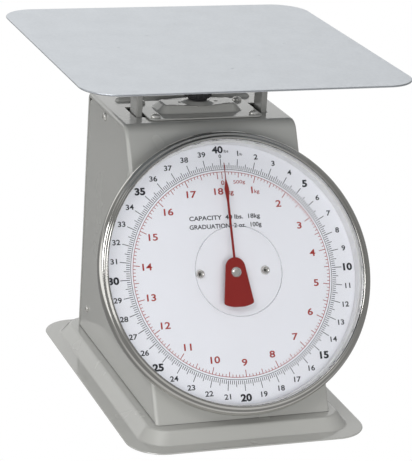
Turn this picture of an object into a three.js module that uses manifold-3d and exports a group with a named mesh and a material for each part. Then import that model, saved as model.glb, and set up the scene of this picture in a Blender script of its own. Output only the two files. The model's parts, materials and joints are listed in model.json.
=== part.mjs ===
// Mechanical dial platform scale, 40 lb x 2 oz.
//
// Millimetres, +Z up. The origin is on the floor, under the middle of the whole object; the dial
// looks towards -Y. The load presses the platform down against two extension springs. The load
// yoke takes a rack with it, and the rack turns the pinion and the pointer once round the dial.
import * as THREE from 'three';
import { mergeVertices } from 'three/addons/utils/BufferGeometryUtils.js';
import Module from 'manifold-3d';

const wasm = await Module();
wasm.setup();

// ---------- driving dimensions ----------
const GAP = 0.3; // air left between pieces that rest on each other
const SHEET = 1.2; // thickness of the painted sheet metal

const platform = { size: 270, corner: 28, thick: 1.5, top: 275.4, y: 22 };
const spider = { reach: 78, thick: 2, corner: 8, hole: 14 };

const base = { width: 197, depth: 285, corner: 28, y: -14.5, low: 1, flange: 1.2, top: 11.6, roll: 9 };
const plateau = { halfWidth: 77.8, front: -137.7, rear: 106.3, corner: 14, wall: 9.9 };
const foot = { r: 9, x: 62, front: -118, rear: 84 };

const housing = { halfWidth: 72.8, front: -126.7, rear: 94.2, rearTop: 93.6, top: 220, edge: 3 };
const sidePanel = { inset: 3.8, recess: 0.5 };
const tilt = THREE.MathUtils.degToRad(29); // lean of the front sheet and of the dial
const bend = { front: 12, rear: 4.5 };
const bead = { y: 62.3, halfLength: 59, halfWidth: 3, height: 3 };

const cover = { halfWidth: 48.5, front: -0.7, rear: 53.3, corner: 6 };
const pan = { halfWidth: 36, front: 12.3, rear: 42, height: 6, slope: 6, corner: 9 };
const axisY = 26; // the springs, the zero knob and the cover's boss share this Y
const slot = { inner: 47.5, outer: 57, front: 12.3, rear: 42.5 };
const knob = { low: 229.9, neck: 232, high: 252, r: 11.4, taper: 8.2 };
const thread = { r: 3, clearance: 0.4, low: 184 };

const post = { inner: 51, outer: 56, front: 12.8, rear: 30.8 };
const yoke = { low: 131, high: 145, front: 13, rear: 31, stemLow: 52 };
const hanger = { z: 194, thick: 5, halfWidth: 22, halfDepth: 8 };
const spring = { x: 14, coilR: 5, wireR: 0.9, turns: 7 };
const damper = { x: -38, y: 22, r: 12, bore: 10.8, low: 12, high: 82, piston: 10.2, rod: 2 };

const dial = { y: -80.05, z: 116.17, standoff: 9.9, r: 104.6, thick: 0.8 };
const drum = { r: 106.5, wall: 1.2, front: 7 };
const bezel = { r: 113.1, lip: 105.2, back: 107.8, sheet: 1, shoulder: 8, crown: 15.6, lipW: 12 };
const gasket = { sleeve: 104.2, sleeveW: 0.35, neck: 105, flange: 107.5, flangeW: 7.3 };
const lens = { r: 108, thick: 2, seat: 9.3, dome: 4.5 };
const pointer = { back: 7.2, thick: 1, tip: 88, bladeHigh: 75, bladeLow: 67, neck: 57, tail: -27.6 };
const pointerHalf = { tip: 0.25, blade: 1.9, neck: 0.9, shoulder: 7.2, tail: 12.4 };
const dialScrew = { x: 27.4, v: 1.2, head: 3.8 };

// rack and pinion: one turn of the pinion is the rack's whole stroke
const gear = { module: 0.5, teeth: 10, back: -30, front: -24 };
const pitchR = (gear.module * gear.teeth) / 2;
const rack = { back: -28.5, front: -25.5, pinV: 40, rear: 9.2, low: -6, high: 44 };
const rackPin = {
  y: dial.y + rack.pinV * Math.sin(tilt) - ((rack.back + rack.front) / 2) * Math.cos(tilt),
  z: dial.z + rack.pinV * Math.cos(tilt) + ((rack.back + rack.front) / 2) * Math.sin(tilt),
  r: 1.2,
};
const plates = { halfWidth: 18, low: -24, high: 12, frontW: -13.5, rearW: -42, thick: 2 };
const stroke = 2 * Math.PI * pitchR * Math.cos(tilt); // the platform's own travel

// check arms: two level links that keep the platform from tipping
const arm = { pivotY: 80, upperZ: 112, lowerZ: 66, length: 58, outer: 15, inner: 9, shaft: 2.5, play: 0.75 };
const armRest = Math.asin(stroke / 2 / arm.length); // half of the arms' swing, upwards at rest
const armEnd = (pivotZ) => pivotZ + arm.length * Math.sin(armRest);
const armHoleY = arm.pivotY - (arm.length * (1 + Math.cos(armRest))) / 2;
const column = { halfWidth: 26, y: 85, thick: 3, low: 11.9, high: 150, foot: 24, ear: 17 };

// ---------- colours ----------
const paint = new THREE.MeshStandardMaterial({ color: 0xaeb0ab, roughness: 0.35, metalness: 0.0 });
const satin = new THREE.MeshStandardMaterial({ color: 0xc8ced4, roughness: 0.4, metalness: 0.7 });
const polished = new THREE.MeshStandardMaterial({ color: 0xd6d4ce, roughness: 0.1, metalness: 1 });
const steel = new THREE.MeshStandardMaterial({ color: 0x9a9c9e, roughness: 0.4, metalness: 0.9 });
const brass = new THREE.MeshStandardMaterial({ color: 0xb5934c, roughness: 0.35, metalness: 0.9 });
const black = new THREE.MeshStandardMaterial({ color: 0x161616, roughness: 0.4, metalness: 0 });
const rubber = new THREE.MeshStandardMaterial({ color: 0x202020, roughness: 0.9, metalness: 0 });
const whiteRubber = new THREE.MeshStandardMaterial({ color: 0xe8e8e6, roughness: 0.7, metalness: 0 });
const printed = new THREE.MeshStandardMaterial({ color: 0xe6e8f0, roughness: 0.3, metalness: 0 });
const red = new THREE.MeshStandardMaterial({ color: 0xa52019, roughness: 0.4, metalness: 0 });
const clear = new THREE.MeshStandardMaterial({
  color: 0xf2f6f8,
  roughness: 0.05,
  metalness: 0,
  transparent: true,
  opacity: 0.25,
});

// ---------- geometry helpers ----------

// One closed surface with shared corners, no slivers and its faces pointing out.
function closed(geometry) {
  const bare = geometry.clone();
  bare.deleteAttribute('normal');
  bare.deleteAttribute('uv');
  const merged = mergeVertices(bare, 1e-4);
  const p = merged.attributes.position;
  const a = new THREE.Vector3();
  const b = new THREE.Vector3();
  const c = new THREE.Vector3();
  const faces = [];
  let volume = 0;
  for (let i = 0; i < merged.index.count; i += 3) {
    const corners = [0, 1, 2].map((k) => merged.index.getX(i + k));
    if (new Set(corners).size < 3) continue;
    a.fromBufferAttribute(p, corners[0]);
    b.fromBufferAttribute(p, corners[1]);
    c.fromBufferAttribute(p, corners[2]);
    volume += a.dot(b.cross(c)) / 6;
    faces.push(corners);
  }
  if (volume < 0) faces.forEach((corners) => corners.reverse());
  merged.setIndex(faces.flat());
  return merged;
}

function solid(geometry) {
  const g = closed(geometry);
  const vertProperties = new Float32Array(g.attributes.position.array);
  const triVerts = new Uint32Array(g.index.array);
  return new wasm.Manifold(new wasm.Mesh({ numProp: 3, vertProperties, triVerts }));
}

function geometryOf(manifold) {
  const m = manifold.getMesh();
  const g = new THREE.BufferGeometry();
  g.setAttribute('position', new THREE.BufferAttribute(new Float32Array(m.vertProperties), 3));
  g.setIndex(new THREE.BufferAttribute(new Uint32Array(m.triVerts), 1));
  return g;
}

const cut = (first, ...others) => geometryOf(others.reduce((s, g) => s.subtract(solid(g)), solid(first)));
const join = (first, ...others) => geometryOf(others.reduce((s, g) => s.add(solid(g)), solid(first)));
const common = (first, second) => geometryOf(solid(first).intersect(solid(second)));

function box(x0, x1, y0, y1, z0, z1) {
  const g = new THREE.BoxGeometry(x1 - x0, y1 - y0, z1 - z0);
  return g.translate((x0 + x1) / 2, (y0 + y1) / 2, (z0 + z1) / 2);
}

// Cylinder along Z.
function rod(r, z0, z1, x = 0, y = 0, sides = 20) {
  const g = new THREE.CylinderGeometry(r, r, z1 - z0, sides);
  return g.rotateX(Math.PI / 2).translate(x, y, (z0 + z1) / 2);
}

// Cylinder along X.
function crossRod(r, x0, x1, y, z, sides = 16) {
  const g = new THREE.CylinderGeometry(r, r, x1 - x0, sides);
  return g.rotateZ(Math.PI / 2).translate((x0 + x1) / 2, y, z);
}

// Turned shape: [radius, height] points that start and end on the axis, or close on themselves.
function turned(points, sides = 24) {
  const g = new THREE.LatheGeometry(points.map(([r, z]) => new THREE.Vector2(r, z)), sides);
  return g.rotateX(Math.PI / 2);
}

function ring(inner, outer, z0, z1, sides = 32) {
  return turned([[inner, z0], [outer, z0], [outer, z1], [inner, z1], [inner, z0]], sides);
}

// Rectangle with round corners, from (x0, y0) to (x1, y1).
function roundedRect(x0, x1, y0, y1, r) {
  const s = new THREE.Shape();
  s.absarc(x1 - r, y0 + r, r, -Math.PI / 2, 0);
  s.absarc(x1 - r, y1 - r, r, 0, Math.PI / 2);
  s.absarc(x0 + r, y1 - r, r, Math.PI / 2, Math.PI);
  s.absarc(x0 + r, y0 + r, r, Math.PI, 1.5 * Math.PI);
  s.closePath();
  return s;
}

// Polygon with one rounding radius per corner; each corner is [x, y, radius].
function roundedPolygon(corners) {
  const s = new THREE.Shape();
  const count = corners.length;
  corners.forEach(([x, y, r], i) => {
    const here = new THREE.Vector2(x, y);
    const before = new THREE.Vector2(...corners[(i + count - 1) % count].slice(0, 2)).sub(here);
    const after = new THREE.Vector2(...corners[(i + 1) % count].slice(0, 2)).sub(here);
    const turn = Math.abs(before.angleTo(after)) / 2;
    const reach = r / Math.tan(turn);
    const start = here.clone().add(before.setLength(reach));
    const end = here.clone().add(after.setLength(reach));
    if (i === 0) s.moveTo(start.x, start.y);
    else s.lineTo(start.x, start.y);
    if (r > 0) s.quadraticCurveTo(x, y, end.x, end.y);
  });
  s.closePath();
  return s;
}

function slab(shape, z0, z1, segments = 6) {
  const options = { depth: z1 - z0, bevelEnabled: false, curveSegments: segments };
  const g = new THREE.ExtrudeGeometry(shape, options);
  return g.translate(0, 0, z0);
}

// Slab whose side walls are quarter-rounds that stay inside the outline.
function pillow(shape, z0, z1, run, rise, segments = 3) {
  const g = new THREE.ExtrudeGeometry(shape, {
    depth: z1 - z0 - 2 * rise,
    bevelSize: run,
    bevelOffset: -run,
    bevelThickness: rise,
    bevelSegments: segments,
    curveSegments: 5,
  });
  return g.translate(0, 0, z0 + rise);
}

// Turns a shape drawn in (y, z) and extruded along its own depth into one that lies along X.
const alongX = new THREE.Matrix4().makeBasis(
  new THREE.Vector3(0, 1, 0),
  new THREE.Vector3(0, 0, 1),
  new THREE.Vector3(1, 0, 0),
);

const scale = new THREE.Group();

// Parts square to the dial live in this group: X right, Y up the dial, Z out of it, 0 at its print.
const dialGroup = new THREE.Group();
dialGroup.position.set(0, dial.y, dial.z);
dialGroup.rotation.x = Math.PI / 2 - tilt;
scale.add(dialGroup);

function add(name, geometry, material, group = scale) {
  const mesh = new THREE.Mesh(closed(geometry), material);
  mesh.name = name;
  group.add(mesh);
}

// ---------- base ----------

function baseTray() {
  const { width, depth, corner, y, low, flange, top, roll } = base;
  const outline = roundedRect(-width / 2, width / 2, y - depth / 2, y + depth / 2, corner);
  const { halfWidth, front, rear, wall } = plateau;
  const raised = (shrink, high) => {
    const x = halfWidth + wall - shrink;
    const r = plateau.corner + wall - shrink;
    const shape = roundedRect(-x, x, front - wall + shrink, rear + wall - shrink, r);
    return pillow(shape, low - 2 * roll, high, wall - shrink, roll - shrink);
  };
  const below = box(-width, width, -depth, depth, low - 4 * roll, low);
  return cut(join(slab(outline, low, low + flange), raised(0, top)), raised(SHEET, top - SHEET), below);
}

function baseParts() {
  add('base_tray', baseTray(), paint);
  for (const [row, y] of [['front', foot.front], ['rear', foot.rear]]) {
    for (const [side, sign] of [['left', -1], ['right', 1]]) {
      const profile = [[0, 0], [foot.r - 1.5, 0], [foot.r, 1.5], [foot.r - 1, base.top - SHEET - GAP]];
      profile.push([0, base.top - SHEET - GAP]);
      const g = turned(profile, 24).translate(sign * foot.x, y, 0);
      add(`foot_${row}_${side}`, g, rubber);
    }
  }
}

// ---------- housing ----------

// Side view of the housing, drawn in (y, z), with its edges moved in by a distance.
function housingOutline(inset, low, cornerFactor = 1) {
  const lean = Math.tan(tilt);
  const frontAt = (z) => housing.front + (z - base.top) * lean + inset / Math.cos(tilt);
  const rearAt = (z) => {
    const share = (z - base.top) / (housing.top - base.top);
    return housing.rear + (housing.rearTop - housing.rear) * share - inset;
  };
  const top = housing.top - inset;
  const soft = (r) => Math.max(r - inset * cornerFactor, 1.5);
  return roundedPolygon([
    [frontAt(low), low, 0],
    [rearAt(low), low, 0],
    [rearAt(top), top, soft(bend.rear)],
    [frontAt(top), top, soft(bend.front)],
  ]);
}

const housingLow = base.top + GAP;

function housingShell() {
  const { halfWidth, edge } = housing;
  const outer = pillow(housingOutline(0, housingLow - 20), -halfWidth, halfWidth, edge, edge);
  const inner = pillow(
    housingOutline(SHEET, housingLow - 20), -halfWidth + SHEET, halfWidth - SHEET, edge - SHEET, edge - SHEET,
  );
  const sides = slab(housingOutline(sidePanel.inset, housingLow - 30, 0.5), -100, 100);
  const { y, halfLength, halfWidth: beadHalf, height } = bead;
  const beadShape = roundedRect(-halfLength, halfLength, y - beadHalf, y + beadHalf, beadHalf - 0.1);
  const wholeBead = pillow(beadShape, housing.top - 10, housing.top + height, 2, height, 2);
  const raisedBead = common(wholeBead, box(-70, 70, y - 10, y + 10, housing.top - SHEET, housing.top + 10));
  let shell = solid(outer.applyMatrix4(alongX)).subtract(solid(inner.applyMatrix4(alongX)));
  shell = shell.subtract(solid(sides.applyMatrix4(alongX)));
  shell = shell.add(solid(raisedBead));
  for (const sign of [-1, 1]) {
    const xs = [sign * slot.inner, sign * slot.outer].sort((a, b) => a - b);
    shell = shell.subtract(solid(box(xs[0], xs[1], slot.front, slot.rear, 200, 240)));
  }
  const window = box(-pan.halfWidth + 6, pan.halfWidth - 6, pan.front + 4, pan.rear - 4, 200, 240);
  shell = shell.subtract(solid(window));
  const shaftHole = rod(8, -40, 10).rotateX(Math.PI / 2 - tilt).translate(0, dial.y, dial.z);
  shell = shell.subtract(solid(shaftHole));
  const below = box(-100, 100, -200, 200, -60, housingLow);
  return geometryOf(shell.subtract(solid(below)));
}

// A flat panel, set a little back in the housing's side opening.
function sidePlate(sign) {
  const outer = housing.halfWidth - sidePanel.recess;
  const shape = housingOutline(sidePanel.inset + GAP, housingLow, 0.5);
  const g = slab(shape, outer - SHEET, outer).applyMatrix4(alongX);
  const panel = sign < 0 ? g.applyMatrix4(new THREE.Matrix4().makeScale(-1, 1, 1)) : g;
  const holes = sideScrews.map(({ y, z }) => crossRod(sideScrewShank.hole, -100, 100, y, z));
  return cut(panel, ...holes);
}

// screws that hold a side panel, and the radius of each head
const sideScrews = [
  { place: 'upper', y: 44, z: 212, head: 3.4 },
  { place: 'lower', y: 69.5, z: 34.5, head: 2.7 },
];
const sideScrewShank = { r: 1.4, hole: 1.8, length: 3.8 };

function sideScrew(sign, { y, z, head }) {
  const face = housing.halfWidth - sidePanel.recess + GAP;
  const { r, length } = sideScrewShank;
  const profile = [[0, face - length], [r, face - length], [r, face], [head, face]];
  profile.push([head * 0.85, face + head * 0.38], [head * 0.45, face + head * 0.56], [0, face + head * 0.62]);
  return turned(profile, 16).rotateY((sign * Math.PI) / 2).translate(0, y, z);
}

function housingParts() {
  add('housing_wrap', housingShell(), paint);
  for (const [side, sign] of [['left', -1], ['right', 1]]) {
    add(`side_panel_${side}`, sidePlate(sign), paint);
    for (const screw of sideScrews) add(`side_screw_${side}_${screw.place}`, sideScrew(sign, screw), steel);
  }
}

// ---------- cover plate and zero adjuster ----------

const coverLow = housing.top + GAP;
const coverScrew = { r: 1.8, hole: 2.2, head: 4, height: 2.8 };
const coverScrewPlaces = [
  ['front_left', -42, 5.8],
  ['front_right', 42, 5.8],
  ['rear_left', -42, 46.3],
  ['rear_right', 42, 46.3],
];

function coverPlate() {
  const { halfWidth, front, rear, corner } = cover;
  const flat = slab(roundedRect(-halfWidth, halfWidth, front, rear, corner), coverLow, coverLow + SHEET);
  const raised = (shrink) => {
    const x = pan.halfWidth - shrink;
    const shape = roundedRect(-x, x, pan.front + shrink, pan.rear - shrink, pan.corner - shrink);
    return pillow(shape, coverLow - 20, coverLow + SHEET + pan.height - shrink, pan.slope - shrink, 5, 1);
  };
  const top = coverLow + SHEET + pan.height;
  const boss = turned([[0, top - 1.5], [13.5, top - 1.5], [9, top + 2], [0, top + 2]], 28);
  const below = box(-60, 60, -20, 80, coverLow - 40, coverLow);
  const holes = [rod(thread.r + thread.clearance, 200, 250)];
  for (const sign of [-1, 1]) holes.push(rod(1.6, 200, 250, sign * 15.6));
  const pieces = holes.map((g) => g.translate(0, axisY, 0));
  const screws = coverScrewPlaces.map(([, x, y]) => rod(coverScrew.hole, 200, 250, x, y, 16));
  return cut(join(flat, raised(0), boss.translate(0, axisY, 0)), raised(SHEET), below, ...pieces, ...screws);
}

function panScrew(x, y) {
  const low = coverLow + SHEET + GAP;
  const { r, head, height } = coverScrew;
  const profile = [[0, housing.top + 0.4], [r, housing.top + 0.4], [r, low], [head, low]];
  profile.push([head * 0.86, low + height * 0.64], [head * 0.48, low + height * 0.93], [0, low + height]);
  return turned(profile, 16).translate(x, y, 0);
}

function zeroKnob() {
  const { low, neck, high, r, taper } = knob;
  const profile = [[0, low], [taper, low], [taper + 0.4, neck], [r, neck + 1.5], [r, high - 1.5]];
  profile.push([r - 1.5, high], [0, high]);
  const bore = rod(thread.r + 0.15, low - 5, high - 5);
  return cut(turned(profile), bore).translate(0, axisY, 0);
}

function springHanger() {
  const { z, thick, halfWidth, halfDepth } = hanger;
  const bar = slab(roundedRect(-halfWidth, halfWidth, -halfDepth, halfDepth, 4), z, z + thick);
  const boss = rod(7, z + thick - 1, z + thick + 6);
  const eyes = [-1, 1].map((sign) => box(sign * spring.x - 1.2, sign * spring.x + 1.2, -4, 4, z - 8, z + 1));
  const eyeHoles = [-1, 1].map((sign) => {
    return crossRod(2.2, sign * spring.x - 3, sign * spring.x + 3, 0, z - 4.2, 14);
  });
  const hole = rod(thread.r + thread.clearance, z - 5, z + 20);
  return cut(join(bar, boss, ...eyes), hole, ...eyeHoles).translate(0, axisY, 0);
}

function zeroParts() {
  add('cover_plate', coverPlate(), paint);
  for (const [place, x, y] of coverScrewPlaces) add(`cover_screw_${place}`, panScrew(x, y), polished);
  add('zero_knob', zeroKnob(), black);
  add('zero_screw', rod(thread.r, thread.low, knob.high - 5.5, 0, axisY), steel);
  add('spring_hanger', springHanger(), steel);
}

// ---------- springs ----------

// Heights of the loops that hook through the hanger's and the yoke's eyes.
const hookR = 3.2;
const topHook = hanger.z - 8.1;
const lowHook = yoke.high + 8.4;

// Wire of the coil; it draws in towards the axis over its first and last half turn.
class CoilPath extends THREE.Curve {
  getPoint(t, target = new THREE.Vector3()) {
    const top = topHook - hookR;
    const low = lowHook + hookR;
    const angle = t * spring.turns * 2 * Math.PI;
    const r = spring.coilR * (1 - 0.72 * Math.abs(2 * t - 1) ** 20);
    return target.set(r * Math.cos(angle), r * Math.sin(angle), low + (top - low) * t);
  }
}

function extensionSpring() {
  const wire = new THREE.Shape().absarc(0, 0, spring.wireR, 0, 2 * Math.PI);
  const coil = new THREE.ExtrudeGeometry(wire, {
    steps: spring.turns * 10, bevelEnabled: false, extrudePath: new CoilPath(), curveSegments: 3,
  });
  const hooks = [topHook, lowHook].map((z) => {
    return new THREE.TorusGeometry(hookR, spring.wireR, 5, 10).rotateX(Math.PI / 2).translate(0, 0, z);
  });
  return join(coil, ...hooks);
}

function springParts() {
  for (const [side, sign] of [['left', -1], ['right', 1]]) {
    add(`spring_${side}`, extensionSpring().translate(sign * spring.x, axisY, 0), steel);
  }
}

// ---------- platform, posts and load yoke ----------

function platformPlate() {
  const half = platform.size / 2;
  const shape = roundedRect(-half, half, platform.y - half, platform.y + half, platform.corner);
  return slab(shape, platform.top - platform.thick, platform.top, 10);
}

const spiderTop = platform.top - platform.thick - GAP;

function platformSpider() {
  const { reach, thick, corner, hole } = spider;
  const tips = [[0, -reach], [reach, 0], [0, reach], [-reach, 0]];
  const shape = roundedPolygon(tips.map((tip) => [...tip, corner]));
  const plate = slab(shape, spiderTop - thick, spiderTop);
  return cut(plate, rod(hole, spiderTop - 10, spiderTop + 10)).translate(0, platform.y, 0);
}

const postTop = spiderTop - spider.thick - GAP;

function sidePost(sign) {
  const { inner, outer, front, rear } = post;
  const tab = 22;
  const shape = roundedPolygon([
    [outer, yoke.low, 0],
    [outer, postTop, 2],
    [inner - tab, postTop, 0],
    [inner - tab, postTop - 2.5, 0],
    [inner, postTop - 2.5, 1],
    [inner, yoke.low, 0],
  ]);
  const g = slab(shape, -rear, -front, 2).rotateX(Math.PI / 2);
  return sign < 0 ? g.applyMatrix4(new THREE.Matrix4().makeScale(-1, 1, 1)) : g;
}

// The yoke ties the posts together and carries the stem, the springs' lower eyes and the rack arm.
function loadYoke() {
  const { low, high, front, rear, stemLow } = yoke;
  const reach = post.inner - GAP;
  const bar = box(-reach, reach, front, rear, low, high);
  const stem = box(-4, 4, front + 2, rear - 2, stemLow, low + 1);
  const holes = [arm.upperZ, arm.lowerZ].map((z) => {
    return crossRod(arm.shaft + arm.play, -6, 6, armHoleY, armEnd(z));
  });
  const eyes = [-1, 1].map((sign) => {
    return box(sign * spring.x - 1.2, sign * spring.x + 1.2, axisY - 4, axisY + 4, high - 1, high + 8);
  });
  const eyeHoles = [-1, 1].map((sign) => {
    return crossRod(2.2, sign * spring.x - 3, sign * spring.x + 3, axisY, high + 4.2, 14);
  });
  const tongue = box(11, 14, rackPin.y - stroke * Math.tan(tilt) - 4, front + 1, low, high);
  const slotLength = roundedPolygon([
    [rackPin.y - stroke * Math.tan(tilt) - 2, rackPin.z - 1.7, 0],
    [rackPin.y + 2, rackPin.z - 1.7, 0],
    [rackPin.y + 2, rackPin.z + 1.7, 0],
    [rackPin.y - stroke * Math.tan(tilt) - 2, rackPin.z + 1.7, 0],
  ]);
  const pinSlot = slab(slotLength, 5, 20).applyMatrix4(alongX);
  const core = join(bar, stem, tongue, ...eyes);
  return cut(core, ...holes, ...eyeHoles, pinSlot);
}

function platformParts() {
  add('platform_plate', platformPlate(), satin);
  add('platform_spider', platformSpider(), steel);
  add('post_left', sidePost(-1), paint);
  add('post_right', sidePost(1), paint);
  add('load_yoke', loadYoke(), steel);
}

// ---------- check arms, column, damper and stop ----------

function checkArm(pivotZ) {
  const { outer, inner, length, shaft } = arm;
  const bars = [-1, 1].map((sign) => {
    const [x0, x1] = [sign * inner, sign * outer].sort((p, q) => p - q);
    return box(x0, x1, -length, 0, -3, 3);
  });
  const frontShaft = crossRod(shaft, -outer, outer, -length, 0);
  const rearShaft = crossRod(shaft, -column.ear - 5, column.ear + 5, 0, 0);
  return join(...bars, frontShaft, rearShaft).rotateX(-armRest).translate(0, arm.pivotY, pivotZ);
}

function rearColumn() {
  const { halfWidth, y, thick, low, high, foot: reach, ear } = column;
  const wall = box(-halfWidth, halfWidth, y, y + thick, low, high);
  const footPlate = box(-halfWidth, halfWidth, y - reach, y + 1, low, low + thick);
  const ears = [];
  const bores = [];
  for (const z of [arm.upperZ, arm.lowerZ]) {
    for (const sign of [-1, 1]) {
      const [x0, x1] = [sign * ear, sign * (ear + 3)].sort((p, q) => p - q);
      ears.push(box(x0, x1, arm.pivotY - 5, y + 1, z - 5, z + 5));
    }
    bores.push(crossRod(arm.shaft + 0.15, -ear - 10, ear + 10, arm.pivotY, z));
  }
  return cut(join(wall, footPlate, ...ears), ...bores);
}

function damperCylinder() {
  const { x, y, r, bore, low, high } = damper;
  const profile = [[0, low], [r, low], [r, high], [damper.rod + 1, high], [damper.rod + 1, high - 2]];
  profile.push([bore, high - 2], [bore, low + 2], [0, low + 2]);
  return turned(profile).translate(x, y, 0);
}

function damperPiston() {
  const { x, y, high, piston, rod: rodR } = damper;
  const headHigh = high - 6;
  const profile = [[0, headHigh - 6], [piston, headHigh - 6], [piston, headHigh], [rodR, headHigh]];
  profile.push([rodR, yoke.low - GAP], [0, yoke.low - GAP]);
  return turned(profile).translate(x, y, 0);
}

function stopBolt() {
  const top = yoke.stemLow - stroke - 0.6;
  const head = rod(6, top - 4, top, 0, arm.pivotY - arm.length, 6);
  return join(head, rod(3, base.top + GAP, top - 3, 0, arm.pivotY - arm.length, 16));
}

function stopNut() {
  const z = base.top + 5;
  const nut = cut(rod(6, z, z + 5, 0, 0, 6), rod(3.2, z - 1, z + 6, 0, 0, 16));
  return nut.translate(0, arm.pivotY - arm.length, 0);
}

function guideParts() {
  add('rear_column', rearColumn(), steel);
  add('check_arm_upper', checkArm(arm.upperZ), steel);
  add('check_arm_lower', checkArm(arm.lowerZ), steel);
  add('damper_cylinder', damperCylinder(), brass);
  add('damper_piston', damperPiston(), steel);
  add('stop_bolt', stopBolt(), steel);
  add('stop_nut', stopNut(), steel);
}

// ---------- dial movement: bearing plates, shaft, pinion and rack ----------

const spacerPlaces = [[-12, -18], [12, -18], [-12, 7]];
const shaft = { r: 2.5, thin: 1.2, step: -20, back: -44, front: 6.9, tapped: 1.7, tappedDepth: 5 };
const bushR = 4;

function bearingPlate(w) {
  const { halfWidth, low, high, thick } = plates;
  const plate = slab(roundedRect(-halfWidth, halfWidth, low, high, 4), w, w + thick);
  return cut(plate, rod(bushR + GAP, w - 5, w + 5));
}

// Flanged bush for a bearing plate whose back is at w; its flange is on the plate's front.
function bush(w, bore) {
  const flange = bushR + 2;
  const end = plates.thick + 2 * GAP;
  const profile = [[bore, w - GAP], [bushR, w - GAP], [bushR, w - GAP + end], [flange, w - GAP + end]];
  profile.push([flange, w + end + 0.9], [bore, w + end + 0.9], [bore, w - GAP]);
  return turned(profile, 20);
}

// The front bush faces the other way, so that both flanges are between the plates.
function frontBush() {
  const middle = plates.frontW + plates.thick / 2;
  return bush(plates.frontW, shaft.r + 0.1).scale(1, 1, -1).translate(0, 0, 2 * middle);
}

function pointerShaft() {
  const { r, thin, step, back, front, tapped, tappedDepth } = shaft;
  const profile = [[0, back], [thin, back], [thin, step], [r, step], [r, front], [tapped, front]];
  profile.push([tapped, front - tappedDepth], [0, front - tappedDepth]);
  return turned(profile, 20);
}

function pinionGear() {
  const { module, teeth, back, front } = gear;
  const outerR = pitchR + module * 0.9;
  const rootR = pitchR - module * 1.15;
  const step = (2 * Math.PI) / teeth;
  const s = new THREE.Shape();
  for (let i = 0; i < teeth; i += 1) {
    // every tooth is turned by half a step, so that a gap between two teeth meets the rack at +X
    const a = i * step + step / 2;
    const points = [[rootR, -0.3], [outerR, -0.1], [outerR, 0.1], [rootR, 0.3]];
    points.forEach(([r, share], k) => {
      const x = r * Math.cos(a + share * step);
      const y = r * Math.sin(a + share * step);
      if (i === 0 && k === 0) s.moveTo(x, y);
      else s.lineTo(x, y);
    });
  }
  s.closePath();
  return cut(slab(s, back, front, 1), rod(shaft.thin + 0.1, back - 1, front + 1));
}

function rackBar() {
  const { back, front, pinV, rear, low, high } = rack;
  const { module } = gear;
  const pitch = Math.PI * module;
  const rootX = pitchR + module * 1.2;
  const tipX = pitchR - module * 0.8;
  const count = Math.round((high - 14 - low) / pitch) - 2;
  const s = new THREE.Shape();
  s.moveTo(rear, low);
  s.lineTo(rear, high);
  s.lineTo(rootX, high);
  const first = -2 * pitch;
  for (let i = count - 1; i >= 0; i -= 1) {
    const v = first + i * pitch;
    s.lineTo(rootX, v + 0.3 * pitch);
    s.lineTo(tipX, v + 0.09 * pitch);
    s.lineTo(tipX, v - 0.09 * pitch);
    s.lineTo(rootX, v - 0.3 * pitch);
  }
  s.lineTo(rootX, low);
  s.closePath();
  const hole = crossRod(rackPin.r + 0.15, -5, 20, pinV, (back + front) / 2, 14);
  return cut(slab(s, back, front, 1), hole);
}

function rackGuide() {
  const { thick, high } = plates;
  const w = plates.rearW + thick + GAP;
  const x = rack.rear + GAP;
  return box(x, x + 4, spacerPlaces[0][1] + 4, high - 4, w, rack.front + 2);
}

function movementParts() {
  const w0 = plates.rearW + plates.thick + GAP;
  const w1 = plates.frontW - GAP;
  add('bearing_plate_front', bearingPlate(plates.frontW), brass, dialGroup);
  add('bearing_plate_rear', bearingPlate(plates.rearW), brass, dialGroup);
  spacerPlaces.forEach(([x, v], i) => {
    add(`plate_spacer_${i + 1}`, rod(2.5, w0, w1, x, v, 16), brass, dialGroup);
  });
  add('bush_front', frontBush(), brass, dialGroup);
  add('bush_rear', bush(plates.rearW, shaft.thin + 0.1), brass, dialGroup);
  add('rack_guide', rackGuide(), brass, dialGroup);
  add('pointer_shaft', pointerShaft(), steel, dialGroup);
  add('pinion', pinionGear(), brass, dialGroup);
  add('rack', rackBar(), brass, dialGroup);
  const pin = crossRod(rackPin.r, rack.rear - 5.5, 16, rack.pinV, (rack.back + rack.front) / 2, 14);
  add('rack_pin', pin, steel, dialGroup);
}

// ---------- dial, lens and bezel ----------

const screwHoleR = 1.8;

function dialPan() {
  const { r, wall, front } = drum;
  const low = -dial.standoff + GAP;
  const profile = [[6, low], [r, low], [r, front], [r - wall, front], [r - wall, low + wall]];
  profile.push([6, low + wall], [6, low]);
  const holes = [-1, 1].map((sign) => rod(screwHoleR, low - 1, low + 3, sign * dialScrew.x, dialScrew.v, 12));
  return cut(turned(profile, 56), ...holes);
}

function dialFace() {
  const disc = rod(dial.r, -dial.thick, 0, 0, 0, 56);
  const holes = [-1, 1].map((sign) => rod(screwHoleR, -5, 5, sign * dialScrew.x, dialScrew.v, 12));
  return cut(disc, rod(shaft.r + 0.8, -5, 5), ...holes);
}

function dialSpacer(sign) {
  const low = -dial.standoff + GAP + drum.wall + GAP;
  return ring(screwHoleR, 4, low, -dial.thick - GAP, 16).translate(sign * dialScrew.x, dialScrew.v, 0);
}

function dialScrewSolid(sign) {
  const profile = [[0, -8.5], [1.5, -8.5], [1.5, GAP], [dialScrew.head, GAP], [dialScrew.head - 0.4, 1.6]];
  profile.push([2.2, 2.2], [1.5, 1.4], [0, 1.4]);
  return turned(profile, 20).translate(sign * dialScrew.x, dialScrew.v, 0);
}

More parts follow.
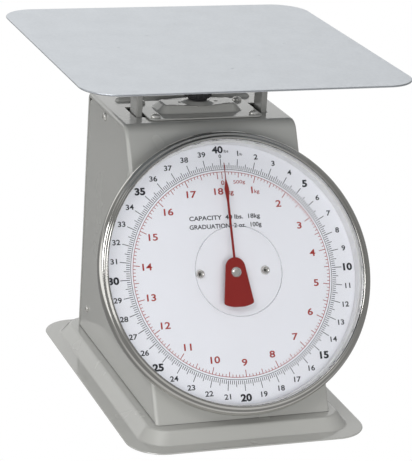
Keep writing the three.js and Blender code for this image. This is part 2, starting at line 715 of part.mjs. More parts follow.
function lensDisc() {
  const { r, thick, seat, dome } = lens;
  const surface = (height, steps, from, to) => {
    const points = [];
    for (let i = 0; i <= steps; i += 1) {
      const radius = from + ((to - from) * i) / steps;
      points.push([radius, height + dome * (1 - (radius / r) ** 2)]);
    }
    return points;
  };
  return turned([...surface(seat, 3, 0, r), ...surface(seat + thick, 3, r, 0)], 56);
}

function bezelRing() {
  const { r, lip, back, sheet, shoulder, crown, lipW } = bezel;
  const low = -dial.standoff + 2 * GAP;
  const outside = [
    [back, low],
    [r, shoulder],
    [r - 1.3, crown - 2],
    [r - 4, crown],
    [lip, lipW],
  ];
  const inside = [
    [lip + sheet, lipW],
    [r - 4.2, crown - 1.2],
    [r - 2.1, crown - 2.7],
    [r - sheet, shoulder],
    [back - sheet, low],
  ];
  return turned([...outside, ...inside, outside[0]], 60);
}

// White ring under the lens: a sleeve inside the drum and a flange on the drum's edge.
function lensGasket() {
  const { sleeve, sleeveW, neck, flange, flangeW } = gasket;
  const front = lens.seat - GAP;
  const profile = [[sleeve, sleeveW], [neck, sleeveW], [neck, flangeW], [flange, flangeW], [flange, front]];
  profile.push([sleeve, front], [sleeve, sleeveW]);
  return turned(profile, 40);
}

// Half of the blade's outline from its tip down to the middle of its wide tail.
function pointerSide(s, side) {
  const { tip, bladeLow, bladeHigh, neck, tail } = pointer;
  const { tip: tipHalf, blade, neck: neckHalf, shoulder, tail: tailHalf } = pointerHalf;
  const straight = [
    [tipHalf, tip],
    [tipHalf, bladeHigh],
    [blade, bladeLow],
    [neckHalf, neck],
    [neckHalf, 10],
  ];
  const curves = [
    [5, 9.5, shoulder, 5],
    [shoulder, 5, tailHalf, tail + 5],
    [tailHalf + 0.6, tail + 2.6, tailHalf - 3, tail + 1.6],
  ];
  if (side > 0) {
    straight.forEach(([x, y], i) => (i === 0 ? s.moveTo(x, y) : s.lineTo(x, y)));
    curves.forEach(([cx, cy, x, y]) => s.quadraticCurveTo(cx, cy, x, y));
    s.quadraticCurveTo(0, tail - 1.6, -tailHalf + 3, tail + 1.6);
    return;
  }
  s.quadraticCurveTo(-tailHalf - 0.6, tail + 2.6, -tailHalf, tail + 5);
  s.lineTo(-shoulder, 5);
  s.quadraticCurveTo(-5, 9.5, -neckHalf, 10);
  straight.slice(0, -1).reverse().forEach(([x, y]) => s.lineTo(-x, y));
}

function pointerBlade() {
  const { back, thick } = pointer;
  const s = new THREE.Shape();
  pointerSide(s, 1);
  pointerSide(s, -1);
  s.closePath();
  return cut(slab(s, back, back + thick, 5), rod(shaft.tapped, back - 1, back + thick + 1, 0, 0, 16));
}

function hubScrew() {
  const low = pointer.back + pointer.thick + GAP;
  const profile = [[0, 3], [1.4, 3], [1.4, low], [4.2, low]];
  profile.push([3.8, low + 1.4], [2.2, low + 2], [0, low + 2.2]);
  return turned(profile, 20);
}

function dialParts() {
  add('dial_pan', dialPan(), polished, dialGroup);
  add('dial_face', dialFace(), printed, dialGroup);
  for (const [side, sign] of [['left', -1], ['right', 1]]) {
    add(`dial_spacer_${side}`, dialSpacer(sign), brass, dialGroup);
    add(`dial_screw_${side}`, dialScrewSolid(sign), polished, dialGroup);
  }
  add('lens_gasket', lensGasket(), whiteRubber, dialGroup);
  add('lens', lensDisc(), clear, dialGroup);
  add('bezel', bezelRing(), polished, dialGroup);
  add('pointer', pointerBlade(), red, dialGroup);
  add('hub_screw', hubScrew(), polished, dialGroup);
}

baseParts();
housingParts();
zeroParts();
springParts();
platformParts();
guideParts();
movementParts();
dialParts();

export default scale;
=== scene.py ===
"""Looks of the dial platform scale: camera, light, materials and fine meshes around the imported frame.

All lengths inside the helpers are millimetres; objects are made in metres. The dial's own axes are
X to the right, V up the dial and W out of it, from the joint that turns the pointer.
"""
import json
import math

import bmesh
import bpy
from mathutils import Matrix, Vector


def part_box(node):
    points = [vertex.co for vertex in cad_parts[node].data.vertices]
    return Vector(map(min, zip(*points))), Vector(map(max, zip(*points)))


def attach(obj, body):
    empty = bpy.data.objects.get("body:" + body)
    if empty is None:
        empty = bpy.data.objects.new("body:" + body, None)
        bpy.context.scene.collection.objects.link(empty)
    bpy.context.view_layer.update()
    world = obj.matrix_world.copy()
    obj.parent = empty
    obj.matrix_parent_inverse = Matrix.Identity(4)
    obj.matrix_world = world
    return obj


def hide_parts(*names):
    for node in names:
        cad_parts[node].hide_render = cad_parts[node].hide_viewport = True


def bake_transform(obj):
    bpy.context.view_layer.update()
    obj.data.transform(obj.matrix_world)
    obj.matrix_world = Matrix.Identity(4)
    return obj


MM = 0.001
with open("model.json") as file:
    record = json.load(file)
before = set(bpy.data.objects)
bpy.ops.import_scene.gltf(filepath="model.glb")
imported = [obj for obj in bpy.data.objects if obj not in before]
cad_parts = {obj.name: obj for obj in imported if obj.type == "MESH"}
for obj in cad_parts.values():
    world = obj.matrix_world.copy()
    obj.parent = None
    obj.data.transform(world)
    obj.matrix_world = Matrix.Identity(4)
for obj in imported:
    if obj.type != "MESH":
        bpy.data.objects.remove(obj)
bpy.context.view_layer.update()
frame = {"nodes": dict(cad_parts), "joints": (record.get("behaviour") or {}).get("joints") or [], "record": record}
joints = {joint["name"]: joint for joint in frame["joints"]}


def box_mm(node):
    """Lowest and highest corner of a CAD node, in millimetres."""
    low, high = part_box(node)
    return [v / MM for v in low], [v / MM for v in high]


# ---------- the dial's own axes ----------

turn = joints["pointer_turn"]
DIAL_CENTRE = Vector(turn["pos_m"])
NORMAL = Vector(turn["axis"]).normalized()
ACROSS = Vector((1, 0, 0))
UP_DIAL = NORMAL.cross(ACROSS).normalized()
TILT = math.asin(NORMAL.z)
TO_DIAL = Matrix.Translation(DIAL_CENTRE) @ Matrix((ACROSS, UP_DIAL, NORMAL)).transposed().to_4x4()
WORLD = Matrix.Identity(4)

# ---------- camera, floor and light ----------

# Where the camera stands, in metres, and how it is turned, in radians.
CAMERA_AT = Vector((-0.5842, -1.5891, 0.7032))
CAMERA_YAW = 0.355
CAMERA_PITCH = -0.329
CAMERA_ROLL = 0.063
CAMERA_LENS = 170.2
SENSOR_HEIGHT = 36

# Name: place and target in metres, width and height in metres, watts, whether mirrors see it.
LAMPS = {
    "wash": ((-2.0, -0.55, 0.45), (0, 0, 0.12), (1.4, 0.8), 10, False),
    "front": ((-0.3, -2.4, 0.5), (0, 0, 0.17), (1.6, 0.8), 21, False),
    "softbox": ((-0.95, -1.05, 1.35), (0, 0, 0.1), (0.8, 0.5), 7, True),
    "glint_left": ((-1.5, -1.15, 0.75), (0, 0, 0.12), (0.16, 0.9), 1.0, True),
    "glint_top": ((-0.3, 0.2, 2.1), (0, 0, 0.2), (1.2, 0.3), 4, True),
}

FLOOR_SIZE = 30
FLOOR_WHITE = (0.8, 0.8, 0.8, 1)
ROOM_FOR_PAINT = (0.53, 0.53, 0.53)
ROOM_FOR_MIRRORS = (1, 1, 0.985)
ROOM_FOR_CAMERA = (1, 1, 1)
MIRROR_DIM, MIRROR_BRIGHT = 0.25, 1.2


def make_camera():
    """A long lens, turned by yaw, pitch and roll."""
    data = bpy.data.cameras.new("camera")
    data.sensor_fit = "VERTICAL"
    data.sensor_height = SENSOR_HEIGHT
    data.lens = CAMERA_LENS
    data.clip_end = 50
    ahead = Vector((
        math.sin(CAMERA_YAW) * math.cos(CAMERA_PITCH),
        math.cos(CAMERA_YAW) * math.cos(CAMERA_PITCH),
        math.sin(CAMERA_PITCH),
    ))
    level = Vector((math.cos(CAMERA_YAW), -math.sin(CAMERA_YAW), 0))
    upright = level.cross(ahead)
    right = level * math.cos(CAMERA_ROLL) + upright * math.sin(CAMERA_ROLL)
    up = upright * math.cos(CAMERA_ROLL) - level * math.sin(CAMERA_ROLL)
    turned = Matrix((right, up, -ahead)).transposed().to_4x4()
    camera = bpy.data.objects.new("camera", data)
    camera.matrix_world = Matrix.Translation(CAMERA_AT) @ turned
    bpy.context.collection.objects.link(camera)
    bpy.context.scene.camera = camera


def area_light(name, place, target, size, power, in_mirrors):
    """A rectangular lamp that looks at its target."""
    data = bpy.data.lights.new(name, "AREA")
    data.shape = "RECTANGLE"
    data.size, data.size_y = size
    data.energy = power
    light = bpy.data.objects.new(name, data)
    aim = Vector(target) - Vector(place)
    light.matrix_world = Matrix.Translation(place) @ aim.to_track_quat("-Z", "Y").to_matrix().to_4x4()
    light.visible_glossy = in_mirrors
    bpy.context.collection.objects.link(light)


def make_studio():
    """A pale floor that only returns light, the lamps, and the room around them."""
    bpy.ops.mesh.primitive_plane_add(size=FLOOR_SIZE)
    floor = bpy.context.object
    floor.name = "floor"
    floor.visible_camera = False
    floor.visible_glossy = False
    mat, _, shader = new_material("floor_white")
    shader.inputs["Base Color"].default_value = FLOOR_WHITE
    shader.inputs["Roughness"].default_value = 0.9
    floor.data.materials.append(mat)
    for name, lamp in LAMPS.items():
        area_light(name, *lamp)
    make_world()


def combine(tree, first, second, operation="MULTIPLY"):
    """The product of two values, or another operation on them."""
    node = tree.nodes.new("ShaderNodeMath")
    node.operation = operation
    tree.links.new(first, node.inputs[0])
    tree.links.new(second, node.inputs[1])
    return node.outputs[0]


def room_brightness(tree, direction):
    """Brightness in the mirrors: backdrop, ceiling, a window on the left and a pale table in front."""
    x, y, z = (direction.outputs[axis] for axis in "XYZ")
    behind = spread(tree, y, 0.0, 1.0, 0.70, 0.86)
    above_horizon = spread(tree, z, 0.0, 1.0, -0.05, 0.12)
    backdrop = combine(tree, behind, above_horizon)
    ceiling = spread(tree, z, 0.0, 0.8, 0.80, 0.95)
    above_sill = spread(tree, z, 0.0, 1.0, -0.16, -0.04)
    below_head = spread(tree, z, 1.0, 0.0, 0.34, 0.5)
    window = combine(tree, spread(tree, x, 1.25, 0.0, -0.90, -0.74), combine(tree, above_sill, below_head))
    downwards = spread(tree, z, 0.45, 0.0, -0.45, -0.15)
    table = combine(tree, downwards, spread(tree, y, 1.0, 0.0, -0.35, 0.1))
    bright = combine(tree, backdrop, ceiling, "MAXIMUM")
    bright = combine(tree, bright, window, "MAXIMUM")
    return combine(tree, bright, table, "MAXIMUM")


def background(tree, colour):
    """An even surrounding of one colour."""
    node = tree.nodes.new("ShaderNodeBackground")
    node.inputs["Color"].default_value = (*colour, 1)
    return node


def mix_shaders(tree, factor, first, second):
    """The first shader where the factor is 0 and the second where it is 1."""
    node = tree.nodes.new("ShaderNodeMixShader")
    for socket, source in zip(node.inputs, (factor, first, second)):
        tree.links.new(source, socket)
    return node.outputs[0]


def make_world():
    """White for the camera and even for matt paint; mirrors see a dim room with bright places in it."""
    world = bpy.data.worlds.new("world")
    bpy.context.scene.world = world
    world.use_nodes = True
    tree = world.node_tree
    tree.nodes.clear()
    out = tree.nodes.new("ShaderNodeOutputWorld")
    coords = tree.nodes.new("ShaderNodeTexCoord")
    direction = tree.nodes.new("ShaderNodeSeparateXYZ")
    path = tree.nodes.new("ShaderNodeLightPath")
    tree.links.new(coords.outputs["Generated"], direction.inputs[0])
    for_mirrors = background(tree, ROOM_FOR_MIRRORS)
    for_paint = background(tree, ROOM_FOR_PAINT)
    for_camera = background(tree, ROOM_FOR_CAMERA)
    dim = spread(tree, room_brightness(tree, direction), MIRROR_DIM, MIRROR_BRIGHT, 0.0, MIRROR_BRIGHT)
    tree.links.new(dim, for_mirrors.inputs["Strength"])
    glossy = path.outputs["Is Glossy Ray"]
    indirect = mix_shaders(tree, glossy, for_paint.outputs[0], for_mirrors.outputs[0])
    seen = mix_shaders(tree, path.outputs["Is Camera Ray"], indirect, for_camera.outputs[0])
    tree.links.new(seen, out.inputs["Surface"])


# ---------- materials ----------

def noise(tree, scale, detail=3.0, roughness=0.5, stretch=None):
    """A noise texture in the object's own metres; stretch multiplies the coordinates per axis."""
    coords = tree.nodes.new("ShaderNodeTexCoord")
    texture = tree.nodes.new("ShaderNodeTexNoise")
    texture.inputs["Scale"].default_value = scale
    texture.inputs["Detail"].default_value = detail
    texture.inputs["Roughness"].default_value = roughness
    source = coords.outputs["Object"]
    if stretch:
        mapping = tree.nodes.new("ShaderNodeMapping")
        mapping.inputs["Scale"].default_value = stretch
        tree.links.new(source, mapping.inputs["Vector"])
        source = mapping.outputs["Vector"]
    tree.links.new(source, texture.inputs["Vector"])
    return texture.outputs["Fac"]


def spread(tree, value, low, high, bottom=0.3, top=0.7):
    """Maps a value between bottom and top to the range low..high."""
    node = tree.nodes.new("ShaderNodeMapRange")
    node.inputs["From Min"].default_value = bottom
    node.inputs["From Max"].default_value = top
    node.inputs["To Min"].default_value = low
    node.inputs["To Max"].default_value = high
    tree.links.new(value, node.inputs["Value"])
    return node.outputs["Result"]


def blend_colours(tree, factor, first, second):
    """A colour between the first and the second."""
    node = tree.nodes.new("ShaderNodeMix")
    node.data_type = "RGBA"
    node.inputs["A"].default_value = (*first, 1)
    node.inputs["B"].default_value = (*second, 1)
    tree.links.new(factor, node.inputs["Factor"])
    return node.outputs["Result"]


def bump(tree, height, distance_mm):
    """The surface direction of a relief of the given depth."""
    node = tree.nodes.new("ShaderNodeBump")
    node.inputs["Distance"].default_value = distance_mm * MM
    tree.links.new(height, node.inputs["Height"])
    return node.outputs["Normal"]


def new_material(name):
    """A material, its node tree and its shader."""
    mat = bpy.data.materials.new(name)
    mat.use_nodes = True
    return mat, mat.node_tree, mat.node_tree.nodes["Principled BSDF"]


def enamel(name, colour, shade, gloss=0.26, coat=1.0, peel=0.0006):
    """Stoved enamel: slight clouding, orange peel and a clear gloss."""
    mat, tree, shader = new_material(name)
    cloud = noise(tree, 14, 2)
    tree.links.new(blend_colours(tree, cloud, colour, shade), shader.inputs["Base Color"])
    rough = spread(tree, noise(tree, 30, 2), gloss - 0.02, gloss + 0.03, 0, 1)
    tree.links.new(rough, shader.inputs["Roughness"])
    shader.inputs["Coat Weight"].default_value = coat
    shader.inputs["Coat Roughness"].default_value = 0.06
    tree.links.new(bump(tree, noise(tree, 260, 0), peel), shader.inputs["Normal"])
    return mat


def metal(name, colour, rough, variation, grain, grain_depth, tint=0.06, shine=1.0):
    """Bare metal: a grain stretched by axis, patches of roughness and a slight change of tone."""
    mat, tree, shader = new_material(name)
    shader.inputs["Metallic"].default_value = shine
    darker = tuple(c * (1 - tint) for c in colour)
    tone = spread(tree, noise(tree, 40, 4), 0, 1)
    tree.links.new(blend_colours(tree, tone, colour, darker), shader.inputs["Base Color"])
    lines = noise(tree, 420, 4, 0.6, grain)
    tree.links.new(spread(tree, lines, rough - variation, rough + variation), shader.inputs["Roughness"])
    tree.links.new(bump(tree, lines, grain_depth), shader.inputs["Normal"])
    return mat


def plastic(name, colour, rough, coat=0.0, grain_mm=0.01):
    """Moulded plastic or rubber with a fine grain."""
    mat, tree, shader = new_material(name)
    lighter = tuple(min(1, c * 1.35 + 0.002) for c in colour)
    tree.links.new(blend_colours(tree, noise(tree, 120, 3), colour, lighter), shader.inputs["Base Color"])
    tree.links.new(spread(tree, noise(tree, 300, 3), rough - 0.06, rough + 0.08), shader.inputs["Roughness"])
    shader.inputs["Coat Weight"].default_value = coat
    tree.links.new(bump(tree, noise(tree, 1500, 2), grain_mm), shader.inputs["Normal"])
    return mat


def printed_sheet(name, colour, rough=0.32):
    """Paint or ink on a flat sheet."""
    mat, tree, shader = new_material(name)
    warmer = (colour[0] * 0.97, colour[1] * 0.97, colour[2] * 0.965)
    tree.links.new(blend_colours(tree, noise(tree, 30, 2), colour, warmer), shader.inputs["Base Color"])
    tree.links.new(spread(tree, noise(tree, 500, 2), rough - 0.04, rough + 0.04), shader.inputs["Roughness"])
    tree.links.new(bump(tree, noise(tree, 2500, 2), 0.002), shader.inputs["Normal"])
    return mat


def clear_cover(name):
    """Thin clear plastic: mostly see-through, with a faint mirror at shallow angles."""
    mat, tree, shader = new_material(name)
    shader.inputs["Base Color"].default_value = (0.9, 0.92, 0.95, 1)
    shader.inputs["Metallic"].default_value = 1.0
    tree.links.new(spread(tree, noise(tree, 40, 2), 0.02, 0.05), shader.inputs["Roughness"])
    out = tree.nodes["Material Output"]
    through = tree.nodes.new("ShaderNodeBsdfTransparent")
    edge = tree.nodes.new("ShaderNodeFresnel")
    edge.inputs["IOR"].default_value = 1.25
    mix = mix_shaders(tree, edge.outputs[0], through.outputs[0], shader.outputs[0])
    tree.links.new(mix, out.inputs["Surface"])
    return mat


def moulded_line(name):
    """A dark see-through line: painted shade along the moulded step in the clear cover."""
    mat, tree, shader = new_material(name)
    shader.inputs["Base Color"].default_value = (0.2, 0.22, 0.26, 1)
    tree.links.new(spread(tree, noise(tree, 60, 2), 0.1, 0.2), shader.inputs["Roughness"])
    tree.links.new(spread(tree, noise(tree, 25, 2), 0.2, 0.42), shader.inputs["Alpha"])
    return mat


MAT = {
    "grey_paint": enamel("grey_enamel", (0.415, 0.415, 0.395), (0.395, 0.395, 0.375)),
    # The posts wear the housing's grey enamel; this darker copy is painted shade for the shadow under the
    # platform.
    "painted_shade_post_paint": enamel("painted_shade_post_enamel", (0.25, 0.25, 0.238), (0.24, 0.24, 0.228)),
    "satin_steel": metal("satin_sheet", (0.665, 0.70, 0.75), 0.36, 0.05, (1, 1, 1), 0.004, 0.05),
    # The screws' steel is a brighter, partly matt copy of the polished steel: painted sheen standing in for the
    # bright highlights on their heads.
    "painted_sheen_screw_steel": metal("painted_sheen_screw_steel", (0.80, 0.79, 0.76), 0.2, 0.04, (1, 1, 1), 0.0005, shine=0.75),
    "polished_steel": metal("polished_stainless", (0.70, 0.69, 0.665), 0.11, 0.02, (1, 1, 1), 0.0002),
    "plain_steel": metal("zinc_steel", (0.48, 0.49, 0.5), 0.38, 0.08, (1, 1, 12), 0.006, 0.15),
    "brass": metal("brass_sheet", (0.63, 0.46, 0.2), 0.3, 0.07, (1, 1, 10), 0.005, 0.12),
    "black_plastic": plastic("black_bakelite", (0.012, 0.012, 0.013), 0.3, 0.2),
    "black_rubber": plastic("black_rubber", (0.02, 0.02, 0.02), 0.75, 0, 0.04),
    "dial_print": printed_sheet("dial_white", (0.83, 0.84, 0.885)),
    "white_rubber": plastic("white_rubber", (0.8, 0.8, 0.79), 0.6),
    "ink_black": printed_sheet("ink_black", (0.012, 0.014, 0.02), 0.4),
    "ink_red": printed_sheet("ink_red", (0.36, 0.025, 0.018), 0.4),
    "red_paint": enamel("pointer_red", (0.25, 0.006, 0.003), (0.23, 0.005, 0.002), 0.5, 0.0, 0.002),
    "clear_lens": clear_cover("clear_lens"),
    # A dark see-through ring: painted shade along the lens's moulded circle.
    "painted_shade_lens_line": moulded_line("painted_shade_lens_line"),
}


# ---------- mesh helpers ----------

def place(obj, body, slot, replaces=(), material=None):
    """Hangs a piece on its body, names its finish and the CAD nodes that it stands for."""
    even = obj.modifiers.new("even", "WEIGHTED_NORMAL")
    even.keep_sharp = True
    even.weight = 100
    apply_modifiers(obj, False)
    obj.data.materials.clear()
    obj.data.materials.append(MAT[material or slot])
    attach(obj, body)
    if replaces:
        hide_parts(*replaces)
    return obj


def mesh_object(name, points, faces, matrix=WORLD, smooth=32):
    """A mesh from points in millimetres; edges sharper than the given angle stay sharp."""
    mesh = bpy.data.meshes.new(name)
    mesh.from_pydata([Vector(p) * MM for p in points], [], faces)
    mesh.transform(matrix)
    work = bmesh.new()
    work.from_mesh(mesh)
    bmesh.ops.recalc_face_normals(work, faces=work.faces)
    work.to_mesh(mesh)
    work.free()
    mesh.polygons.foreach_set("use_smooth", [True] * len(mesh.polygons))
    mesh.set_sharp_from_angle(angle=math.radians(smooth))
    obj = bpy.data.objects.new(name, mesh)
    bpy.context.collection.objects.link(obj)
    return obj


def loft(name, rings, capped=True, matrix=WORLD, closed=False):
    """Skins rings of equal length; closed joins the last ring to the first, without caps."""
    count = len(rings[0])
    points = [p for ring in rings for p in ring]
    faces = []
    for i in range(len(rings) if closed else len(rings) - 1):
        a = i * count
        b = ((i + 1) % len(rings)) * count
        for k in range(count):
            n = (k + 1) % count
            faces.append((a + k, a + n, b + n, b + k))
    if capped and not closed:
        faces.append(tuple(range(count))[::-1])
        faces.append(tuple(range((len(rings) - 1) * count, len(rings) * count)))
    return mesh_object(name, points, faces, matrix)


def lathe(name, profile, matrix=WORLD, centre=(0, 0), segments=96, smooth=32):
    """Turned body of (radius, height) points; a profile that returns to its start is a ring."""
    ring_form = profile[0] == profile[-1]
    points = profile[:-1] if ring_form else profile
    verts = []
    faces = []
    index = []
    for r, h in points:
        if r < 1e-6:
            index.append([len(verts)] * segments)
            verts.append((centre[0], centre[1], h))
            continue
        row = []
        for k in range(segments):
            angle = 2 * math.pi * k / segments
            row.append(len(verts))
            verts.append((centre[0] + r * math.cos(angle), centre[1] + r * math.sin(angle), h))
        index.append(row)
    pairs = list(zip(index, index[1:] + ([index[0]] if ring_form else [])))
    for first, second in pairs:
        for k in range(segments):
            n = (k + 1) % segments
            corners = []
            for v in (first[k], first[n], second[n], second[k]):
                if v not in corners:
                    corners.append(v)
            if len(corners) > 2:
                faces.append(tuple(corners))
    return mesh_object(name, verts, faces, matrix, smooth)


def smooth_line(points, steps):
    """Catmull-Rom curve through points of any dimension."""
    last = len(points) - 1
    out = []
    for i in range(last):
        before, start, end, after = (Vector(points[min(max(i + k, 0), last)]) for k in (-1, 0, 1, 2))
        for s in range(steps):
            t = s / steps
            out.append(tuple(0.5 * (
                2 * start + (end - before) * t + (2 * before - 5 * start + 4 * end - after) * t ** 2
                + (3 * start - before - 3 * end + after) * t ** 3
            )))
    out.append(tuple(points[-1]))
    return out


def round_rect(x0, x1, y0, y1, r, z=None, steps=10):
    """Rectangle with round corners, always with the same number of points for the same steps."""
    corners = [(x1 - r, y0 + r, -90), (x1 - r, y1 - r, 0), (x0 + r, y1 - r, 90), (x0 + r, y0 + r, 180)]
    points = []
    for cx, cy, start in corners:
        for k in range(steps + 1):
            angle = math.radians(start + 90 * k / steps)
            p = (cx + r * math.cos(angle), cy + r * math.sin(angle))
            points.append(p if z is None else (*p, z))
    return points


def fillet(before, corner, after, radius, steps):
    """Points of the arc that rounds one corner."""
    a = (before - corner).normalized()
    b = (after - corner).normalized()
    half = a.angle(b) / 2
    centre = corner + (a + b).normalized() * (radius / math.sin(half))
    start = corner + a * (radius / math.tan(half)) - centre
    end = corner + b * (radius / math.tan(half)) - centre
    sweep = start.angle_signed(end)
    out = []
    for k in range(steps + 1):
        angle = -sweep * k / steps
        x = start.x * math.cos(angle) - start.y * math.sin(angle)
        y = start.x * math.sin(angle) + start.y * math.cos(angle)
        out.append((centre.x + x, centre.y + y))
    return out


def bevel(obj, width, segments, angle=35):
    """Rounds the edges of a piece and applies the rounding."""
    modifier = obj.modifiers.new("bevel", "BEVEL")
    modifier.width = width * MM
    modifier.segments = segments
    modifier.limit_method = "ANGLE"
    modifier.angle_limit = math.radians(angle)
    modifier.harden_normals = False
    apply_modifiers(obj)
    return obj


def cut_away(obj, *tools):
    """Takes the tools' shapes out of a piece, then deletes the tools."""
    for tool in tools:
        modifier = obj.modifiers.new("cut", "BOOLEAN")
        modifier.operation = "DIFFERENCE"
        modifier.solver = "EXACT"
        modifier.object = tool
        apply_modifiers(obj)
        bpy.data.objects.remove(tool)
    return obj


def apply_modifiers(obj, sharpen=True):
    """Replaces the mesh by what its modifiers make of it; sharpen marks its sharp edges anew."""
    bpy.context.view_layer.update()
    graph = bpy.context.evaluated_depsgraph_get()
    mesh = bpy.data.meshes.new_from_object(obj.evaluated_get(graph))
    obj.modifiers.clear()
    old = obj.data
    obj.data = mesh
    bpy.data.meshes.remove(old)
    mesh.name = obj.name
    if sharpen:
        mesh.polygons.foreach_set("use_smooth", [True] * len(mesh.polygons))
        mesh.set_sharp_from_angle(angle=math.radians(32))


def block(name, x0, x1, y0, y1, z0, z1, matrix=WORLD):
    """A box between two corners."""
    points = [(x, y, z) for z in (z0, z1) for y in (y0, y1) for x in (x0, x1)]
    faces = [(0, 2, 3, 1), (4, 5, 7, 6), (0, 1, 5, 4), (2, 6, 7, 3), (0, 4, 6, 2), (1, 3, 7, 5)]
    return mesh_object(name, points, faces, matrix)


def prism(name, outline, low, high, matrix=WORLD):
    """A flat outline pushed out along the third axis of the matrix."""
    rings = [[(x, y, low) for x, y in outline], [(x, y, high) for x, y in outline]]
    return loft(name, rings, matrix=matrix)


# ---------- base tray ----------

SHEET = 1.2
tray_low, tray_high = box_mm("base_tray")

# How far in from the tray's rim its wall starts and ends, and the radii of the two folds.
WALL_FOOT, WALL_HEAD = 11.6, 19.0
FOOT_FOLD, HEAD_FOLD = 2.2, 3.6
TRAY_CORNER = 28
PLATEAU_EDGE = 24


def tray_ring(inset, z):
    """One ring of the tray: the outline moved in, with the corner radius that belongs to that inset."""
    r = TRAY_CORNER - 0.62 * inset
    x = tray_high[0] - inset
    extra = 1.3 * min(inset / WALL_FOOT, 1)
    return round_rect(-x, x, tray_low[1] + inset + extra, tray_high[1] - inset, r, z, 14)


def tray_line(low, top, shift):
    """From the flange up the wall to the plateau, as (inset, height), with both folds rounded."""
    flange = Vector((WALL_FOOT - 8 + shift, low))
    foot = Vector((WALL_FOOT + shift, low))
    head = Vector((WALL_HEAD + shift, top))
    inner = Vector((WALL_HEAD + 10, top))
    line = fillet(flange, foot, head, FOOT_FOLD, 5)
    return line + fillet(foot, head, inner, HEAD_FOLD, 7)


def make_base():
    """The folded tray, its plateau one flat face above and one below, and its feet."""
    top = tray_high[2]
    low = tray_low[2]
    outer = [(1.0, low), (0.3, low + 0.1), (0.0, low + 0.6), (0.3, low + 1.1), (1.0, low + SHEET)]
    outer += tray_line(low + SHEET, top, 0) + [(PLATEAU_EDGE, top)]
    inner = [(PLATEAU_EDGE, top - SHEET)] + tray_line(low, top - SHEET, 0.8)[::-1]
    rings = [tray_ring(i, z) for i, z in outer + inner]
    tray = loft("base_tray", rings, closed=True)
    work = bmesh.new()
    work.from_mesh(tray.data)
    work.verts.ensure_lookup_table()
    count = len(rings[0])
    top_ring = len(outer) - 1
    step = [f for f in work.faces if {v.index // count for v in f.verts} == {top_ring, top_ring + 1}]
    bmesh.ops.delete(work, geom=step, context="FACES_ONLY")
    for ring in (top_ring, top_ring + 1):
        work.faces.new([work.verts[ring * count + k] for k in range(count)])
    bmesh.ops.recalc_face_normals(work, faces=work.faces)
    work.to_mesh(tray.data)
    work.free()
    cut_away(tray, dimple_tool(0, tray_low[1] + 6.3, low + SHEET, 3.4, 0.7))
    place(tray, "frame", "grey_paint", ["base_tray"])
    for row in ("front", "rear"):
        for side in ("left", "right"):
            make_foot(f"foot_{row}_{side}")


def dimple_tool(x, y, top, r, depth):
    """A shallow rounded plug that leaves a dimple in a surface at height top."""
    profile = [(0, top - depth), (r * 0.5, top - depth * 0.8), (r * 0.8, top - depth * 0.35), (r, top + 0.05)]
    profile += [(r, top + 1), (0, top + 1)]
    return lathe("dimple", profile, centre=(x, y), segments=32)


def make_foot(node):
    """A round rubber foot, dished underneath."""
    low, high = box_mm(node)
    r = (high[0] - low[0]) / 2
    centre = ((low[0] + high[0]) / 2, (low[1] + high[1]) / 2)
    h = high[2]
    profile = [(0, 0.6), (r - 5, 0.5), (r - 4, 0), (r - 1.8, 0), (r - 0.6, 0.5), (r, 1.6)]
    profile += [(r - 1, h - 0.4), (r - 1.5, h), (0, h)]
    foot = lathe(f"rubber_{node}", profile, centre=centre, segments=40)
    place(foot, "frame", "black_rubber", [node])


# ---------- housing ----------

wrap_low, wrap_high = box_mm("housing_wrap")
BEAD_HEIGHT = 3
HOUSING_TOP = wrap_high[2] - BEAD_HEIGHT
HALF_WIDTH = wrap_high[0]
REAR_LEAN = 0.6
EDGE_ROLL = 3.0
SEAM_INSET = 3.8
BEND_STEPS = 10
# The posts' slots: how wide they are and how far they run past the post.
SLOT_WIDTH = 9.5
SLOT_FRONT, SLOT_REAR = 0.6, 11.7
CUT_DEPTH = 9
WINDOW_HALF_WIDTH, WINDOW_HALF_DEPTH = 30, 11
SHAFT_HOLE = 8
BEAD_Y, BEAD_HALF_LENGTH, BEAD_HALF_WIDTH = 62.3, 59, 3.4


def housing_outline(inset, front_bend=12, rear_bend=4.5):
    """Side view of the housing from the front foot over the top to the rear foot, moved in by inset."""
    low = wrap_low[2]
    front_y = wrap_low[1] + inset / math.cos(TILT)
    height = HOUSING_TOP - low
    top = HOUSING_TOP - inset
    rear_slope = REAR_LEAN / height
    rear_y = wrap_high[1] - inset
    foot = Vector((front_y, low))
    crest = Vector((front_y + (top - low) * math.tan(TILT), top))
    back = Vector((rear_y - (top - low) * rear_slope, top))
    heel = Vector((rear_y, low))
    points = [tuple(foot)]
    for before, corner, after, r in ((foot, crest, back, front_bend), (crest, back, heel, rear_bend)):
        radius = max(r - inset * 0.6, 1.5)
        points += fillet(before, corner, after, radius, BEND_STEPS)
    points.append(tuple(heel))
    return points


def wrap_section():
    """Cut across the wrap: (x, inset) round the sheet, with its side edges rolled inwards."""
    half = []
    roll = 8
    for k in range(roll + 1):
        angle = math.radians(90 * k / roll)
        half.append((HALF_WIDTH - EDGE_ROLL + EDGE_ROLL * math.sin(angle), EDGE_ROLL * (1 - math.cos(angle))))
    half += [(HALF_WIDTH, SEAM_INSET - 0.3), (HALF_WIDTH - 0.35, SEAM_INSET)]
    half.append((HALF_WIDTH - SHEET, SEAM_INSET))
    inner = EDGE_ROLL - SHEET
    for k in range(roll, -1, -1):
        angle = math.radians(90 * k / roll)
        half.append((HALF_WIDTH - EDGE_ROLL + inner * math.sin(angle), SHEET + inner * (1 - math.cos(angle))))
    return half + [(-x, inset) for x, inset in reversed(half)]


